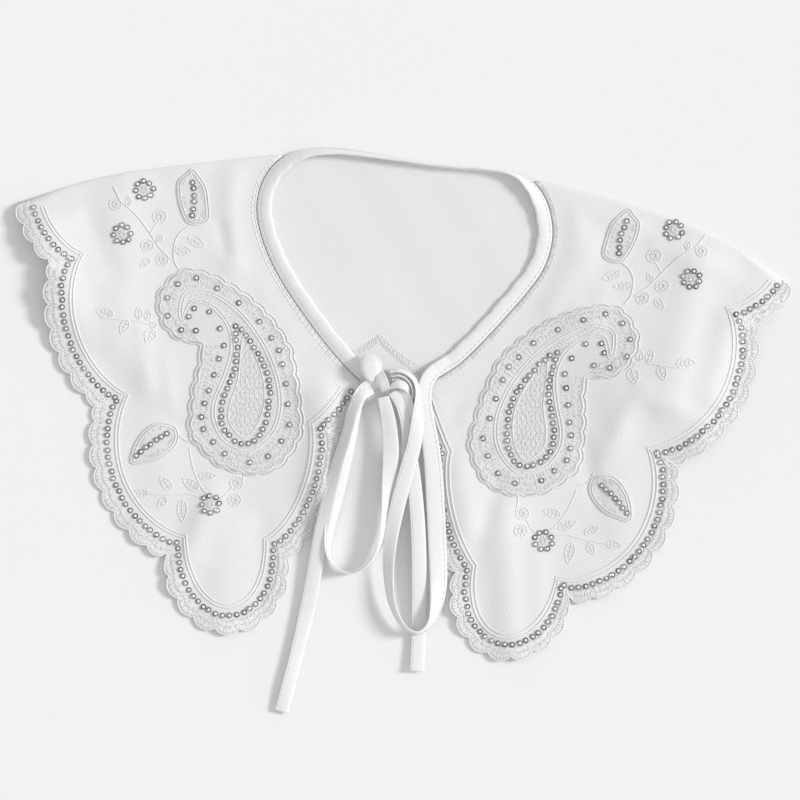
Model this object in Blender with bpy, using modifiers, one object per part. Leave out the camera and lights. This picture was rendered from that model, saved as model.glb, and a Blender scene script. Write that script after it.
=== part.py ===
"""Embroidered net collar with a satin neck tie, laid flat with its shoulders folded.

Metres, +Z up, +Y towards the back of the neck, +X to the right. The origin is the middle of the
underside. The net is one cut: the back lies underneath with its inside up, and the two fronts
lie on it, folded over at the shoulders. A folded satin strip binds the neck edge and runs on
into two ties, which are tied in a bow and lie on the surface in front.

The tables below are in millimetres, measured from the middle between the two shoulder tips.
"""

import math

import bmesh
import bpy
from mathutils import Vector
from mathutils.geometry import delaunay_2d_cdt

MM = 0.001
# The middle of the underside, from the middle between the shoulder tips.
ORIGIN = Vector((-1.2, -81.85))

# Cloth
NET_WALL = 1.0
SEAM_GAP = 0.3
FRONT_LIFT = NET_WALL + SEAM_GAP
GRID = 10.0
EDGE_ROOM = 5.0
# Past the back panel's edge the fronts ease down to the surface between these distances.
EASE_FROM = 4.0
EASE_TO = 22.0
# Creases die out towards the neck seam, between these distances from it.
CREASE_FROM = 2.0
CREASE_TO = 18.0
# The rolled fold at the shoulder: how far out, and at what share of the cloth's height.
FOLD_ROLL = ((0.9, 0.9), (1.5, 0.62), (1.6, 0.25), (1.6, 0.0))

# Hem: the band outside the corded line, with small scallops along its edge. The right front lies
# a little more turned under, so less of its band shows.
LEFT_BAND = 12.0
RIGHT_BAND = 10.0
BACK_BAND = 12.0
SCALLOP_PITCH = 12.5
SCALLOP_DEPTH = 2.5
SCALLOP_STEPS = 4
SCALLOP_ROUNDNESS = 0.7
HEM_SAMPLES = 60
# Near a cusp the two lobes share one way out: over what share of a lobe, and where it is read.
CUSP_SHARE = 0.3
CUSP_NEAR = 0.1
HEM_CORD_RADIUS = 0.7
HEM_CORD_GAP = 0.5
HEM_CORD_STEPS = 10
# The cord starts and stops within the first and the last lobe, at these shares of them.
HEM_CORD_START = 0.12
HEM_CORD_STOP = 0.8

# Raised embroidery
MOTIF_WALL = 0.7

# Neck binding: a folded strip, by its width and its thickness at the middle and the edges
BINDING_WIDTH = 7.8
BINDING_THICK = 1.6
BINDING_EDGE = 1.0
BINDING_STEP = 3
SEAM_EDGE_Z = FRONT_LIFT + BINDING_THICK / 2 + 0.1

# Ties
TIE_THICK = 1.2
TIE_EDGE = 0.84
TIE_STEP = 3

# Knot: the tied body, and the turn of the strip that puffs up over its upper left corner
KNOT_CENTRE = Vector((1.4, -71.2, 6.2))
KNOT_RADII = Vector((12.2, 7.8, 3.9))
PUFF_CENTRE = Vector((-8.4, -64.6, 8.6))
PUFF_RADII = Vector((4.0, 6.0, 2.1))
KNOT_SQUARE = 0.72
KNOT_SEGMENTS = 20
KNOT_RINGS = 12

# Each lobe of a hem ends at a cusp. Columns: cusp x, cusp y, how deep the lobe bellies out from
# the line between its cusps, how far its belly leans on along that line, and how pointed it is
# (1 is a half ellipse, 2 a parabola).
LEFT_HEM_START = Vector((-191.0, 6.0))
LEFT_HEM = (
    (-166.6, -21.6, 5.0, 0.0, 1.5),
    (-135.7, -92.0, 15.3, 0.0, 1.6),
    (-98.1, -161.8, 18.3, 1.0, 1.6),
    (-56.6, -159.0, 35.6, 2.5, 0.9),
    (-39.6, -96.6, 8.9, -2.0, 1.6),
    (-23.5, -70.5, 2.3, 0.0, 1.6),
)
LEFT_TIP_WAY = Vector((-0.90, -0.43))
LEFT_END_WAY = Vector((0.90, -0.44))
RIGHT_HEM_START = Vector((192.0, 5.6))
RIGHT_HEM = (
    (169.3, -14.7, 3.5, 0.0, 1.5),
    (136.0, -91.4, 19.8, 0.0, 1.6),
    (96.0, -163.0, 22.7, 2.0, 1.45),
    (52.9, -161.2, 34.2, 1.5, 0.9),
    (33.9, -104.1, 5.6, 0.0, 1.6),
    (18.0, -71.5, 0.5, 0.0, 1.6),
)
RIGHT_TIP_WAY = Vector((0.84, -0.54))
RIGHT_END_WAY = Vector((-0.92, -0.40))
BACK_LEFT_HEM_START = Vector((-189.5, 4.0))
BACK_LEFT_HEM = (
    (-160.0, -19.0, 4.0, 0.0, 1.6),
    (-127.0, -51.0, 8.0, 0.0, 1.6),
    (-72.0, -68.0, 11.0, 0.0, 1.6),
    (-9.0, -46.4, 8.0, 0.0, 1.8),
)
BACK_RIGHT_HEM_START = Vector((190.5, 3.6))
BACK_RIGHT_HEM = (
    (162.0, -14.0, 3.5, 0.0, 1.6),
    (120.0, -49.0, 8.0, 0.0, 1.6),
    (58.0, -68.0, 11.0, 0.0, 1.6),
    (-9.0, -46.4, 8.0, 0.0, 1.8),
)
BACK_END_WAY = Vector((0.0, -1.0))

# The shoulder folds, from the neck out to the tips: x, y.
LEFT_FOLD = (
    (-85.0, 36.8), (-103.0, 32.6), (-125.0, 27.8), (-147.0, 22.6), (-165.0, 16.8), (-180.0, 10.6),
)
RIGHT_FOLD = (
    (76.0, 39.4), (98.0, 35.6), (116.0, 32.3), (133.0, 28.8), (151.0, 23.0), (172.0, 15.8),
)

# The binding's middle as seen from above, from the left end at the knot round the back of the
# neck to the right end. Columns: x, y, and how steeply it leans (0 flat into the neck opening,
# 90 upright, over 90 leaning back out of the opening).
NECK = (
    (-13.0, -69.4, 26.0),
    (-20.0, -64.3, 30.0),
    (-30.0, -55.5, 36.0),
    (-42.0, -43.0, 42.0),
    (-54.5, -28.5, 46.0),
    (-65.0, -14.0, 50.0),
    (-72.5, 1.0, 54.0),
    (-75.6, 14.0, 58.0),
    (-73.5, 27.0, 66.0),
    (-66.5, 37.0, 74.0),
    (-55.0, 43.0, 82.0),
    (-38.0, 45.2, 90.0),
    (-10.0, 44.4, 100.0),
    (16.0, 43.8, 112.0),
    (36.0, 44.4, 122.0),
    (50.5, 43.0, 112.0),
    (61.0, 37.2, 70.0),
    (68.0, 27.0, 42.0),
    (71.3, 13.0, 32.0),
    (68.8, -2.0, 28.0),
    (62.0, -14.5, 24.0),
    (53.0, -27.5, 22.0),
    (43.0, -41.0, 20.0),
    (31.5, -53.5, 18.0),
    (17.5, -64.0, 16.0),
)
# The rows of that table at which the left front starts, and the shoulder folds meet the neck.
LEFT_FRONT_ROW = 1
LEFT_NECK_ROW = 9
RIGHT_NECK_ROW = 16

# Soft creases in the fronts, each a ridge between two points: x, y, x, y, how far it spreads to
# each side, and its height.
CREASES = (
    (-92.0, 24.0, -88.0, -18.0, 8.0, 1.5),
    (-150.0, 8.0, -142.0, -62.0, 13.0, 1.8),
    (-128.0, -78.0, -112.0, -140.0, 9.0, 1.6),
    (-78.0, -140.0, -76.0, -186.0, 10.0, 1.5),
    (-172.0, -40.0, -158.0, -78.0, 9.0, 2.2),
    (84.0, 20.0, 78.0, -22.0, 9.0, 1.8),
    (152.0, 6.0, 146.0, -66.0, 14.0, 3.0),
    (118.0, -70.0, 126.0, -136.0, 10.0, 2.4),
    (66.0, -134.0, 74.0, -190.0, 10.0, 2.6),
    (46.0, -140.0, 40.0, -112.0, 8.0, 1.6),
)
# Where the springy cloth stands off the surface over a broad stretch: x, y, spread, height.
SWELLS = (
    (-184.0, -40.0, 26.0, 5.5),
    (-188.0, -6.0, 20.0, 2.5),
    (-56.0, -112.0, 26.0, 5.5),
    (134.0, -52.0, 38.0, 5.5),
    (48.0, -142.0, 18.0, 2.5),
)
# Where the scalloped edge curls up off the surface: x, y, spread, height.
EDGE_LIFTS = (
    (-190.0, -14.0, 13.0, 2.6),
    (-186.0, -48.0, 15.0, 2.4),
    (-164.0, -88.0, 13.0, 1.6),
    (-152.0, -124.0, 16.0, 2.4),
    (-120.0, -168.0, 13.0, 1.8),
    (-106.0, -186.0, 12.0, 2.6),
    (-72.0, -210.0, 12.0, 1.6),
    (-28.0, -132.0, 11.0, 1.4),
    (184.0, -12.0, 13.0, 2.2),
    (188.0, -44.0, 16.0, 2.8),
    (164.0, -86.0, 14.0, 1.8),
    (152.0, -128.0, 16.0, 2.6),
    (118.0, -172.0, 14.0, 1.6),
    (80.0, -210.0, 13.0, 2.4),
    (40.0, -186.0, 12.0, 2.6),
)

# Outlines of the thick motifs on the left front. The right front has their mirror images.
PAISLEY = (
    (-117.0, -25.8), (-125.4, -38.0), (-124.1, -48.0), (-119.6, -55.9), (-112.0, -60.8),
    (-101.6, -62.4), (-100.8, -73.0), (-102.4, -84.0), (-102.6, -97.0), (-101.6, -109.0),
    (-93.6, -117.5), (-85.5, -123.4), (-76.0, -125.8), (-65.0, -126.2), (-53.6, -121.8),
    (-46.5, -112.0), (-43.0, -101.5), (-44.4, -92.0), (-46.8, -80.0), (-50.3, -68.5),
    (-54.0, -57.9), (-65.0, -44.5), (-79.5, -33.2), (-97.0, -25.4), (-108.4, -23.3),
)
UPPER_LEAF = (
    (-115.5, 26.6), (-110.0, 23.8), (-106.3, 17.0), (-103.7, 6.9), (-106.2, 0.9),
    (-111.8, -0.2), (-116.6, 5.6), (-120.1, 14.1), (-120.9, 21.3),
)
LOWER_LEAF = (
    (-130.0, -127.0), (-129.7, -119.1), (-125.9, -110.9), (-118.7, -104.9), (-109.0, -106.4),
    (-107.6, -114.4), (-114.7, -122.8), (-122.7, -126.2),
)
# Name, outline, and how far the right one lies from the left one's mirror image: x, y.
MOTIFS = (
    ("paisley", PAISLEY, 0.0, 3.5),
    ("upper_leaf", UPPER_LEAF, -1.5, 3.2),
    ("lower_leaf", LOWER_LEAF, 0.5, -3.0),
)
MOTIF_STEP = 2

# The ties. Columns: x, y, height of the middle, turn about its own length (0 flat, 90 on edge),
# and width.
TAIL_LEFT = (
    (-9.2, -77.4, 3.8, 4.0, 5.4),
    (-13.0, -84.0, 3.9, 4.0, 6.2),
    (-18.0, -95.0, 4.3, 4.0, 7.0),
    (-21.6, -116.0, 4.7, 4.0, 7.5),
    (-24.8, -136.0, 4.2, 2.0, 7.5),
    (-27.4, -154.0, 2.3, 0.0, 7.5),
    (-29.4, -174.0, 0.8, 0.0, 7.8),
    (-31.8, -192.0, 1.1, 6.0, 7.6),
    (-34.8, -214.0, 1.7, 16.0, 7.4),
    (-38.2, -234.0, 1.5, 12.0, 7.4),
    (-40.8, -246.0, 0.9, 2.0, 7.4),
)
TAIL_RIGHT = (
    (2.2, -79.4, 3.4, -6.0, 5.6),
    (3.6, -83.0, 2.4, -6.0, 6.2),
    (6.0, -92.0, 1.4, -4.0, 7.0),
    (10.5, -106.0, 0.8, 0.0, 7.4),
    (15.2, -121.0, 0.8, 0.0, 7.4),
    (20.0, -141.0, 0.8, 0.0, 7.6),
    (23.6, -161.0, 0.8, 0.0, 7.8),
    (26.0, -182.0, 0.8, 0.0, 7.8),
    (27.8, -206.0, 0.8, 0.0, 7.4),
    (28.6, -219.0, 0.8, 0.0, 7.2),
)
LOOP_LEFT = (
    (-11.5, -78.4, 7.6, 62.0, 5.2),
    (-15.6, -86.0, 7.6, 56.0, 6.2),
    (-18.4, -99.0, 8.4, 48.0, 7.2),
    (-20.8, -117.0, 8.2, 40.0, 7.5),
    (-22.8, -135.0, 7.6, 42.0, 7.5),
    (-24.0, -152.0, 6.8, 60.0, 7.5),
    (-22.0, -164.0, 6.1, 78.0, 7.3),
    (-13.8, -170.6, 5.9, 84.0, 7.3),
    (-4.4, -167.4, 6.3, 86.0, 7.3),
    (2.2, -157.5, 6.4, 88.0, 7.3),
    (4.2, -142.6, 6.6, 88.0, 7.3),
    (3.6, -124.4, 7.0, 86.0, 7.3),
    (1.8, -106.4, 7.6, 84.0, 7.0),
    (-1.6, -90.0, 7.4, 80.0, 6.2),
    (-4.6, -79.2, 6.8, 76.0, 5.2),
)
LOOP_RIGHT = (
    (16.9, -69.6, 5.2, 20.0, 6.0),
    (17.0, -76.0, 6.7, 28.0, 7.0),
    (18.8, -85.5, 7.6, 30.0, 7.6),
    (22.6, -97.0, 7.6, 34.0, 8.2),
    (26.0, -111.0, 7.6, 40.0, 8.4),
    (29.4, -130.0, 7.8, 48.0, 8.2),
    (32.8, -152.0, 7.6, 62.0, 7.8),
    (35.2, -171.0, 7.4, 78.0, 7.6),
    (34.8, -184.5, 7.2, 86.0, 7.5),
    (31.0, -193.4, 6.9, 88.0, 7.5),
    (24.8, -197.8, 6.6, 88.0, 7.5),
    (17.4, -194.4, 6.6, 86.0, 7.5),
    (11.0, -183.9, 6.8, 82.0, 7.5),
    (8.6, -168.6, 7.0, 80.0, 7.5),
    (9.0, -152.9, 7.2, 80.0, 7.5),
    (11.4, -136.9, 7.4, 82.0, 7.5),
    (12.2, -118.5, 7.6, 84.0, 7.3),
    (11.0, -101.0, 7.6, 82.0, 7.0),
    (7.6, -88.0, 7.2, 78.0, 6.2),
    (2.6, -79.6, 6.8, 74.0, 5.2),
)


# Small helpers

def place(x, y, z=0.0):
    """A point of the tables as a point of the model, in metres."""
    return Vector(((x - ORIGIN.x) * MM, (y - ORIGIN.y) * MM, z * MM))


def ease(x):
    """0 below 0, 1 above 1, and a smooth step between."""
    x = min(1.0, max(0.0, x))
    return x * x * (3 - 2 * x)


def smooth_rows(rows, steps, closed=False):
    """The rows again, with steps rows for each, on a smooth curve through all their columns."""
    last = len(rows) - 1
    out = []
    for i in range(len(rows) if closed else last):
        if closed:
            four = [rows[(i + k) % len(rows)] for k in (-1, 0, 1, 2)]
        else:
            four = [rows[min(last, max(0, i + k))] for k in (-1, 0, 1, 2)]
        for j in range(steps):
            t = j / steps
            out.append(tuple(
                0.5 * (2 * b + (c - a) * t + (2 * a - 5 * b + 4 * c - d) * t * t
                       + (3 * b - a - 3 * c + d) * t ** 3)
                for a, b, c, d in zip(*four)
            ))
    return out if closed else out + [tuple(rows[-1])]


def from_segment(p, a, b):
    """How far a point is from a stretch between two others, and how far along it that is."""
    d = b - a
    along = min(1.0, max(0.0, (p - a).dot(d) / max(d.length_squared, 1e-9)))
    return (p - a - d * along).length, along


def from_outline(p, outline):
    return min(from_segment(p, a, b)[0] for a, b in zip(outline, outline[1:] + outline[:1]))


def is_inside(p, outline):
    crossings = 0
    for a, b in zip(outline, outline[1:] + outline[:1]):
        if (a.y > p.y) != (b.y > p.y):
            crossings += p.x < a.x + (p.y - a.y) * (b.x - a.x) / (b.y - a.y)
    return crossings % 2 == 1


# The lobed hem

class Hem:
    """A hem of lobes between cusps. Its outer side is on the right of its run when side is 1."""

    def __init__(self, start, rows, side, band, tip_way, end_way):
        self.lobes = []
        self.side = side
        self.band = band
        self.tip_way = tip_way.normalized()
        self.end_way = end_way.normalized()
        here = start
        for x, y, depth, lean, power in rows:
            there = Vector((x, y))
            self.lobes.append((here, there, depth, lean, power))
            here = there

    def on_cord(self, i, t):
        """The point at share t of lobe i, on the corded line."""
        a, b, depth, lean, power = self.lobes[i]
        along = (b - a).normalized()
        out = Vector((along.y, -along.x)) * self.side
        swell = math.sin(math.pi * t)
        chord = a + (b - a) * (1 - math.cos(math.pi * t)) / 2
        return chord + along * lean * swell + out * depth * swell ** power

    def out_from(self, i, t):
        """The way out of the panel there, square to the corded line."""
        t = min(1 - CUSP_NEAR, max(CUSP_NEAR, t))
        near = CUSP_NEAR / 5
        run = self.on_cord(i, t + near) - self.on_cord(i, t - near)
        return (Vector((run.y, -run.x)) * self.side).normalized()

    def at(self, i, t, distance):
        """The point that far outside the corded line. At a cusp its two lobes share one way out."""
        shared = self.out_from(i, t)
        if t < CUSP_SHARE:
            shared = self.tip_way
            if i > 0:
                shared = (self.out_from(i - 1, 1) + self.out_from(i, 0)).normalized()
        elif t > 1 - CUSP_SHARE:
            shared = self.end_way
            if i < len(self.lobes) - 1:
                shared = (self.out_from(i, 1) + self.out_from(i + 1, 0)).normalized()
        share = 1 - ease(min(t, 1 - t) / CUSP_SHARE)
        way = (self.out_from(i, t) * (1 - share) + shared * share).normalized()
        return self.on_cord(i, t) + way * distance

    def scallops(self):
        """The panel's edge, with small scallops of one pitch between the cusps."""
        edge = []
        fine = HEM_SAMPLES
        for i in range(len(self.lobes)):
            line = [self.at(i, k / fine, self.band) for k in range(fine + 1)]
            run = [0.0]
            for a, b in zip(line, line[1:]):
                run.append(run[-1] + (b - a).length)
            steps = max(1, round(run[-1] / SCALLOP_PITCH)) * SCALLOP_STEPS
            for k in range(steps):
                far = run[-1] * k / steps
                j = max(n for n in range(fine + 1) if run[n] <= far + 1e-6)
                j = min(j, fine - 1)
                t = (j + (far - run[j]) / (run[j + 1] - run[j])) / fine
                swell = math.sin(math.pi * (k % SCALLOP_STEPS) / SCALLOP_STEPS)
                edge.append(self.at(i, t, self.band + SCALLOP_DEPTH * swell ** SCALLOP_ROUNDNESS))
        edge.append(self.at(len(self.lobes) - 1, 1.0, self.band))
        return edge

    def cord_line(self):
        last = len(self.lobes) - 1
        line = []
        for i in range(last + 1):
            low = HEM_CORD_START if i == 0 else 0.0
            high = HEM_CORD_STOP if i == last else 1.0
            for k in range(HEM_CORD_STEPS + (i == last)):
                line.append(self.on_cord(i, low + (high - low) * k / HEM_CORD_STEPS))
        return line


# The neck line

def neck_stations():
    """The binding's stations: middle, way out, seam edge, folded edge and lean, seen from above."""
    rows = smooth_rows(NECK, BINDING_STEP)
    stations = []
    for i, (x, y, lean) in enumerate(rows):
        before, after = rows[max(0, i - 1)], rows[min(len(rows) - 1, i + 1)]
        run = Vector((after[0] - before[0], after[1] - before[1])).normalized()
        out = Vector((-run.y, run.x))
        half = BINDING_WIDTH / 2 * math.cos(math.radians(lean))
        middle = Vector((x, y))
        stations.append((middle, out, middle + out * half, math.radians(lean)))
    return stations


def seam_point(station):
    """The panel's edge beside the binding, a seam's gap outside it."""
    middle, out, seam, lean = station
    return seam + out * (SEAM_GAP + BINDING_EDGE / 2 * math.sin(lean))


STATIONS = neck_stations()
LEFT_HEM_LINE = Hem(LEFT_HEM_START, LEFT_HEM, 1, LEFT_BAND, LEFT_TIP_WAY, LEFT_END_WAY)
RIGHT_HEM_LINE = Hem(RIGHT_HEM_START, RIGHT_HEM, -1, RIGHT_BAND, RIGHT_TIP_WAY, RIGHT_END_WAY)
BACK_LEFT_LINE = Hem(BACK_LEFT_HEM_START, BACK_LEFT_HEM, 1, BACK_BAND, LEFT_TIP_WAY, BACK_END_WAY)
BACK_RIGHT_LINE = Hem(BACK_RIGHT_HEM_START, BACK_RIGHT_HEM, -1, BACK_BAND, RIGHT_TIP_WAY, BACK_END_WAY)


def front_outline(side):
    """A front's outline and how many of its first points lie on the shoulder fold."""
    if side == "left":
        hem, fold = LEFT_HEM_LINE, LEFT_FOLD
        neck = STATIONS[LEFT_FRONT_ROW * BINDING_STEP:LEFT_NECK_ROW * BINDING_STEP + 1]
    else:
        hem, fold = RIGHT_HEM_LINE, RIGHT_FOLD
        neck = STATIONS[RIGHT_NECK_ROW * BINDING_STEP:][::-1]
    neck_edge = [seam_point(s) for s in neck]
    fold_edge = [neck_edge[-1]] + [Vector(p) for p in fold]
    edge = hem.scallops()
    return fold_edge + edge + neck_edge[:-1], len(fold_edge) + 1


def back_outline():
    """The back's outline: the shoulder folds, the back of the neck under the binding, the hem."""
    neck = STATIONS[LEFT_NECK_ROW * BINDING_STEP:RIGHT_NECK_ROW * BINDING_STEP + 1]
    top = [s[0] + s[1] * SEAM_GAP for s in neck]
    left = [Vector(p) for p in LEFT_FOLD][::-1]
    right = [Vector(p) for p in RIGHT_FOLD]
    right_edge = BACK_RIGHT_LINE.scallops()
    left_edge = BACK_LEFT_LINE.scallops()
    return left + top + right + right_edge + left_edge[:-1][::-1]


BACK_OUTLINE = back_outline()


def crease_height(p):
    height = 0.0
    for ax, ay, bx, by, spread, high in CREASES:
        far, along = from_segment(p, Vector((ax, ay)), Vector((bx, by)))
        height += high * math.exp(-((far / spread) ** 2))
    for x, y, spread, high in SWELLS + EDGE_LIFTS:
        height += high * math.exp(-(((p.x - x) ** 2 + (p.y - y) ** 2) / spread ** 2))
    return height


def front_top(p):
    """The height of a front's upper face."""
    off_back = 0.0 if is_inside(p, BACK_OUTLINE) else from_outline(p, BACK_OUTLINE)
    rest = FRONT_LIFT * (1 - ease((off_back - EASE_FROM) / (EASE_TO - EASE_FROM)))
    to_neck = min((p - s[2]).length for s in STATIONS)
    fade = ease((to_neck - CREASE_FROM) / (CREASE_TO - CREASE_FROM))
    return rest + NET_WALL + crease_height(p) * fade


# Meshes

def paint(obj, name, colour, roughness, sheen=0.0):
    material = bpy.data.materials.get(name)
    if material is None:
        material = bpy.data.materials.new(name)
        material.use_nodes = True
        shader = material.node_tree.nodes["Principled BSDF"]
        shader.inputs["Base Color"].default_value = (*colour, 1.0)
        shader.inputs["Roughness"].default_value = roughness
        shader.inputs["Metallic"].default_value = 0.0
        shader.inputs["Sheen Weight"].default_value = sheen
    obj.data.materials.clear()
    obj.data.materials.append(material)


def net(obj):
    paint(obj, "white net", (0.86, 0.86, 0.85), 0.75)


def thread(obj):
    paint(obj, "embroidery thread", (0.92, 0.92, 0.91), 0.55)


def satin(obj):
    paint(obj, "white satin", (0.93, 0.93, 0.92), 0.35, 0.3)


def add_object(name, data, collection):
    obj = bpy.data.objects.new(name, data)
    collection.objects.link(obj)
    return obj


def grid_points(outline, loops):
    """Points on an even triangular grid, clear of the outline and of the motifs' edges."""
    xs, ys = [p.x for p in outline], [p.y for p in outline]
    points = []
    row = 0
    y = min(ys) + EDGE_ROOM
    while y < max(ys):
        x = min(xs) + GRID / 2 * (row % 2)
        while x < max(xs):
            p = Vector((x, y))
            clear = all(from_outline(p, loop) > EDGE_ROOM / 2 for loop in loops)
            if is_inside(p, outline) and from_outline(p, outline) > EDGE_ROOM and clear:
                points.append(p)
            x += GRID
        y += GRID * math.sqrt(0.75)
        row += 1
    return points


def fill(outline, loops, inner):
    """Triangles over an outline that keep the loops' edges: their points, and the outline's."""
    points, faces = [], []
    for loop in [outline] + loops:
        faces.append(list(range(len(points), len(points) + len(loop))))
        points += loop
    result = delaunay_2d_cdt(points + inner, [], faces, 1, 1e-4)
    places, triangles, sources = result[0], result[2], result[3]
    number = {old: new for new, olds in enumerate(sources) for old in olds}
    return places, triangles, number


def triangles_in(loop, places, triangles):
    """The triangles whose middles lie in a loop."""
    return [t for t in triangles if is_inside(sum((places[v] for v in t), Vector((0, 0))) / 3, loop)]


def sheet_mesh(name, places, triangles, top):
    """An upper face over the triangles, at the heights given."""
    used = sorted({v for t in triangles for v in t})
    number = {old: new for new, old in enumerate(used)}
    mesh = bpy.data.meshes.new(name)
    points = [place(places[v].x, places[v].y, top[v]) for v in used]
    faces = []
    for t in triangles:
        a, b, c = (places[v] for v in t)
        up = (b - a).cross(c - a) > 0
        faces.append([number[v] for v in (t if up else reversed(t))])
    mesh.from_pydata(points, [], faces)
    mesh.update()
    return mesh, number


def add_wall(obj, thickness, offset):
    wall = obj.modifiers.new("wall", "SOLIDIFY")
    wall.thickness = thickness * MM
    wall.offset = offset
    wall.use_even_offset = True


def roll_fold(mesh, fold_points):
    """Turns the cloth over along the shoulder fold, down to the surface."""
    form = bmesh.new()
    form.from_mesh(mesh)
    form.verts.ensure_lookup_table()
    line = [form.verts[i] for i in fold_points]
    way_along = (line[-2].co - line[0].co).to_2d().normalized()
    out = Vector((way_along.y, -way_along.x))
    if out.y < 0:
        out = -out
    rows = [line]
    for far, share in FOLD_ROLL:
        row = []
        for v in line:
            spot = v.co.copy()
            spot.x += out.x * far * MM
            spot.y += out.y * far * MM
            spot.z *= share
            row.append(form.verts.new(spot))
        rows.append(row)
    for upper, lower in zip(rows, rows[1:]):
        for k in range(len(line) - 1):
            face = form.faces.new((upper[k], upper[k + 1], lower[k + 1], lower[k]))
            face.normal_update()
            if face.normal.dot(Vector((out.x, out.y, 0.3))) < 0:
                face.normal_flip()
    form.to_mesh(mesh)
    form.free()


def side_of(outline, side, shift_x, shift_y):
    """A motif's smooth outline on the left front, or its mirror image on the right one."""
    points = [Vector(p) for p in smooth_rows(outline, MOTIF_STEP, closed=True)]
    if side == "left":
        return points
    return [Vector((-p.x + shift_x, p.y + shift_y)) for p in points]


def front(side, collection):
    """One front panel and the thick motifs on it, which are its own points moved out."""
    outline, fold_count = front_outline(side)
    loops = [side_of(shape, side, sx, sy) for name, shape, sx, sy in MOTIFS]
    places, triangles, number = fill(outline, loops, grid_points(outline, loops))
    top = [front_top(p) for p in places]
    mesh, kept = sheet_mesh(f"front_{side}_panel", places, triangles, top)
    roll_fold(mesh, [kept[number[i]] for i in range(fold_count)])
    panel = add_object(f"front_{side}_panel", mesh, collection)
    add_wall(panel, NET_WALL, -1.0)
    net(panel)
    raised = [z + SEAM_GAP + MOTIF_WALL for z in top]
    for (name, shape, sx, sy), loop in zip(MOTIFS, loops):
        mesh, _ = sheet_mesh(f"{name}_{side}", places, triangles_in(loop, places, triangles), raised)
        motif = add_object(f"{name}_{side}", mesh, collection)
        add_wall(motif, MOTIF_WALL, -1.0)
        thread(motif)


def back(collection):
    places, triangles, _ = fill(BACK_OUTLINE, [], [])
    mesh, _ = sheet_mesh("back_panel", places, triangles, [NET_WALL] * len(places))
    panel = add_object("back_panel", mesh, collection)
    add_wall(panel, NET_WALL, -1.0)
    net(panel)


def hem_cord(side, hem, collection):
    """The thick cord that outlines the hem's lobes, just above the panel."""
    line = hem.cord_line()
    curve = bpy.data.curves.new(f"hem_cord_{side}", "CURVE")
    curve.dimensions = "3D"
    curve.bevel_depth = HEM_CORD_RADIUS * MM
    curve.bevel_resolution = 0
    curve.render_resolution_u = 0
    curve.use_fill_caps = True
    spline = curve.splines.new("POLY")
    spline.points.add(len(line) - 1)
    for point, p in zip(spline.points, line):
        point.co = (*place(p.x, p.y, front_top(p) + HEM_CORD_GAP + HEM_CORD_RADIUS), 1.0)
    cord = add_object(f"hem_cord_{side}", curve, collection)
    thread(cord)


def loft(name, rings, collection):
    """A closed solid through rings of points."""
    form = bmesh.new()
    rows = [[form.verts.new(p) for p in ring] for ring in rings]
    count = len(rows[0])
    for a, b in zip(rows, rows[1:]):
        for k in range(count):
            form.faces.new((a[k], a[(k + 1) % count], b[(k + 1) % count], b[k]))
    form.faces.new(rows[0])
    form.faces.new(rows[-1])
    bmesh.ops.recalc_face_normals(form, faces=form.faces)
    mesh = bpy.data.meshes.new(name)
    form.to_mesh(mesh)
    form.free()
    return add_object(name, mesh, collection)


def strip_ring(middle, across, up, width, thick, edge):
    """A flat strip's section: thinner along its edges than at its middle."""
    half, t, e = width / 2, thick / 2, edge / 2
    rim = ((-half, -e), (0.0, -t), (half, -e), (half, e), (0.0, t), (-half, e))
    return [place(*(middle + across * w + up * h)) for w, h in rim]


def neck_binding(collection):
    rings = []
    for middle, out, seam, lean in STATIONS:
        across = Vector((-out.x * math.cos(lean), -out.y * math.cos(lean), math.sin(lean)))
        up = Vector((out.x * math.sin(lean), out.y * math.sin(lean), math.cos(lean)))
        foot = Vector((seam.x, seam.y, SEAM_EDGE_Z))
        spot = foot + across * BINDING_WIDTH / 2
        rings.append(strip_ring(spot, across, up, BINDING_WIDTH, BINDING_THICK, BINDING_EDGE))
    satin(loft("neck_binding", rings, collection))


def tie(name, rows, collection):
    rows = smooth_rows(rows, TIE_STEP)
    rings = []
    for i, (x, y, z, turn, width) in enumerate(rows):
        before = Vector(rows[max(0, i - 1)][:3])
        after = Vector(rows[min(len(rows) - 1, i + 1)][:3])
        run = (after - before).normalized()
        level = run.cross(Vector((0, 0, 1))).normalized()
        rise = level.cross(run).normalized()
        angle = math.radians(turn)
        across = level * math.cos(angle) + rise * math.sin(angle)
        up = rise * math.cos(angle) - level * math.sin(angle)
        rings.append(strip_ring(Vector((x, y, z)), across, up, width, TIE_THICK, TIE_EDGE))
    satin(loft(name, rings, collection))


def lump(name, centre, radii, collection):
    """A squarish soft lump."""
    form = bmesh.new()
    bmesh.ops.create_uvsphere(form, u_segments=KNOT_SEGMENTS, v_segments=KNOT_RINGS, radius=1.0)
    for v in form.verts:
        spot = Vector([math.copysign(abs(c) ** KNOT_SQUARE, c) for c in v.co])
        v.co = place(*[spot[k] * radii[k] + centre[k] for k in range(3)])
    bmesh.ops.recalc_face_normals(form, faces=form.faces)
    mesh = bpy.data.meshes.new(name)
    form.to_mesh(mesh)
    form.free()
    mesh.shade_smooth()
    return add_object(name, mesh, collection)


def knot(collection, cutters):
    """The tied knot: its body joined with the puffed turn of the strip."""
    body = lump("knot", KNOT_CENTRE, KNOT_RADII, collection)
    puff = lump("knot_puff", PUFF_CENTRE, PUFF_RADII, cutters)
    puff.hide_render = True
    puff.display_type = "WIRE"
    join = body.modifiers.new("join", "BOOLEAN")
    join.operation = "UNION"
    join.object = puff
    satin(body)


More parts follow.
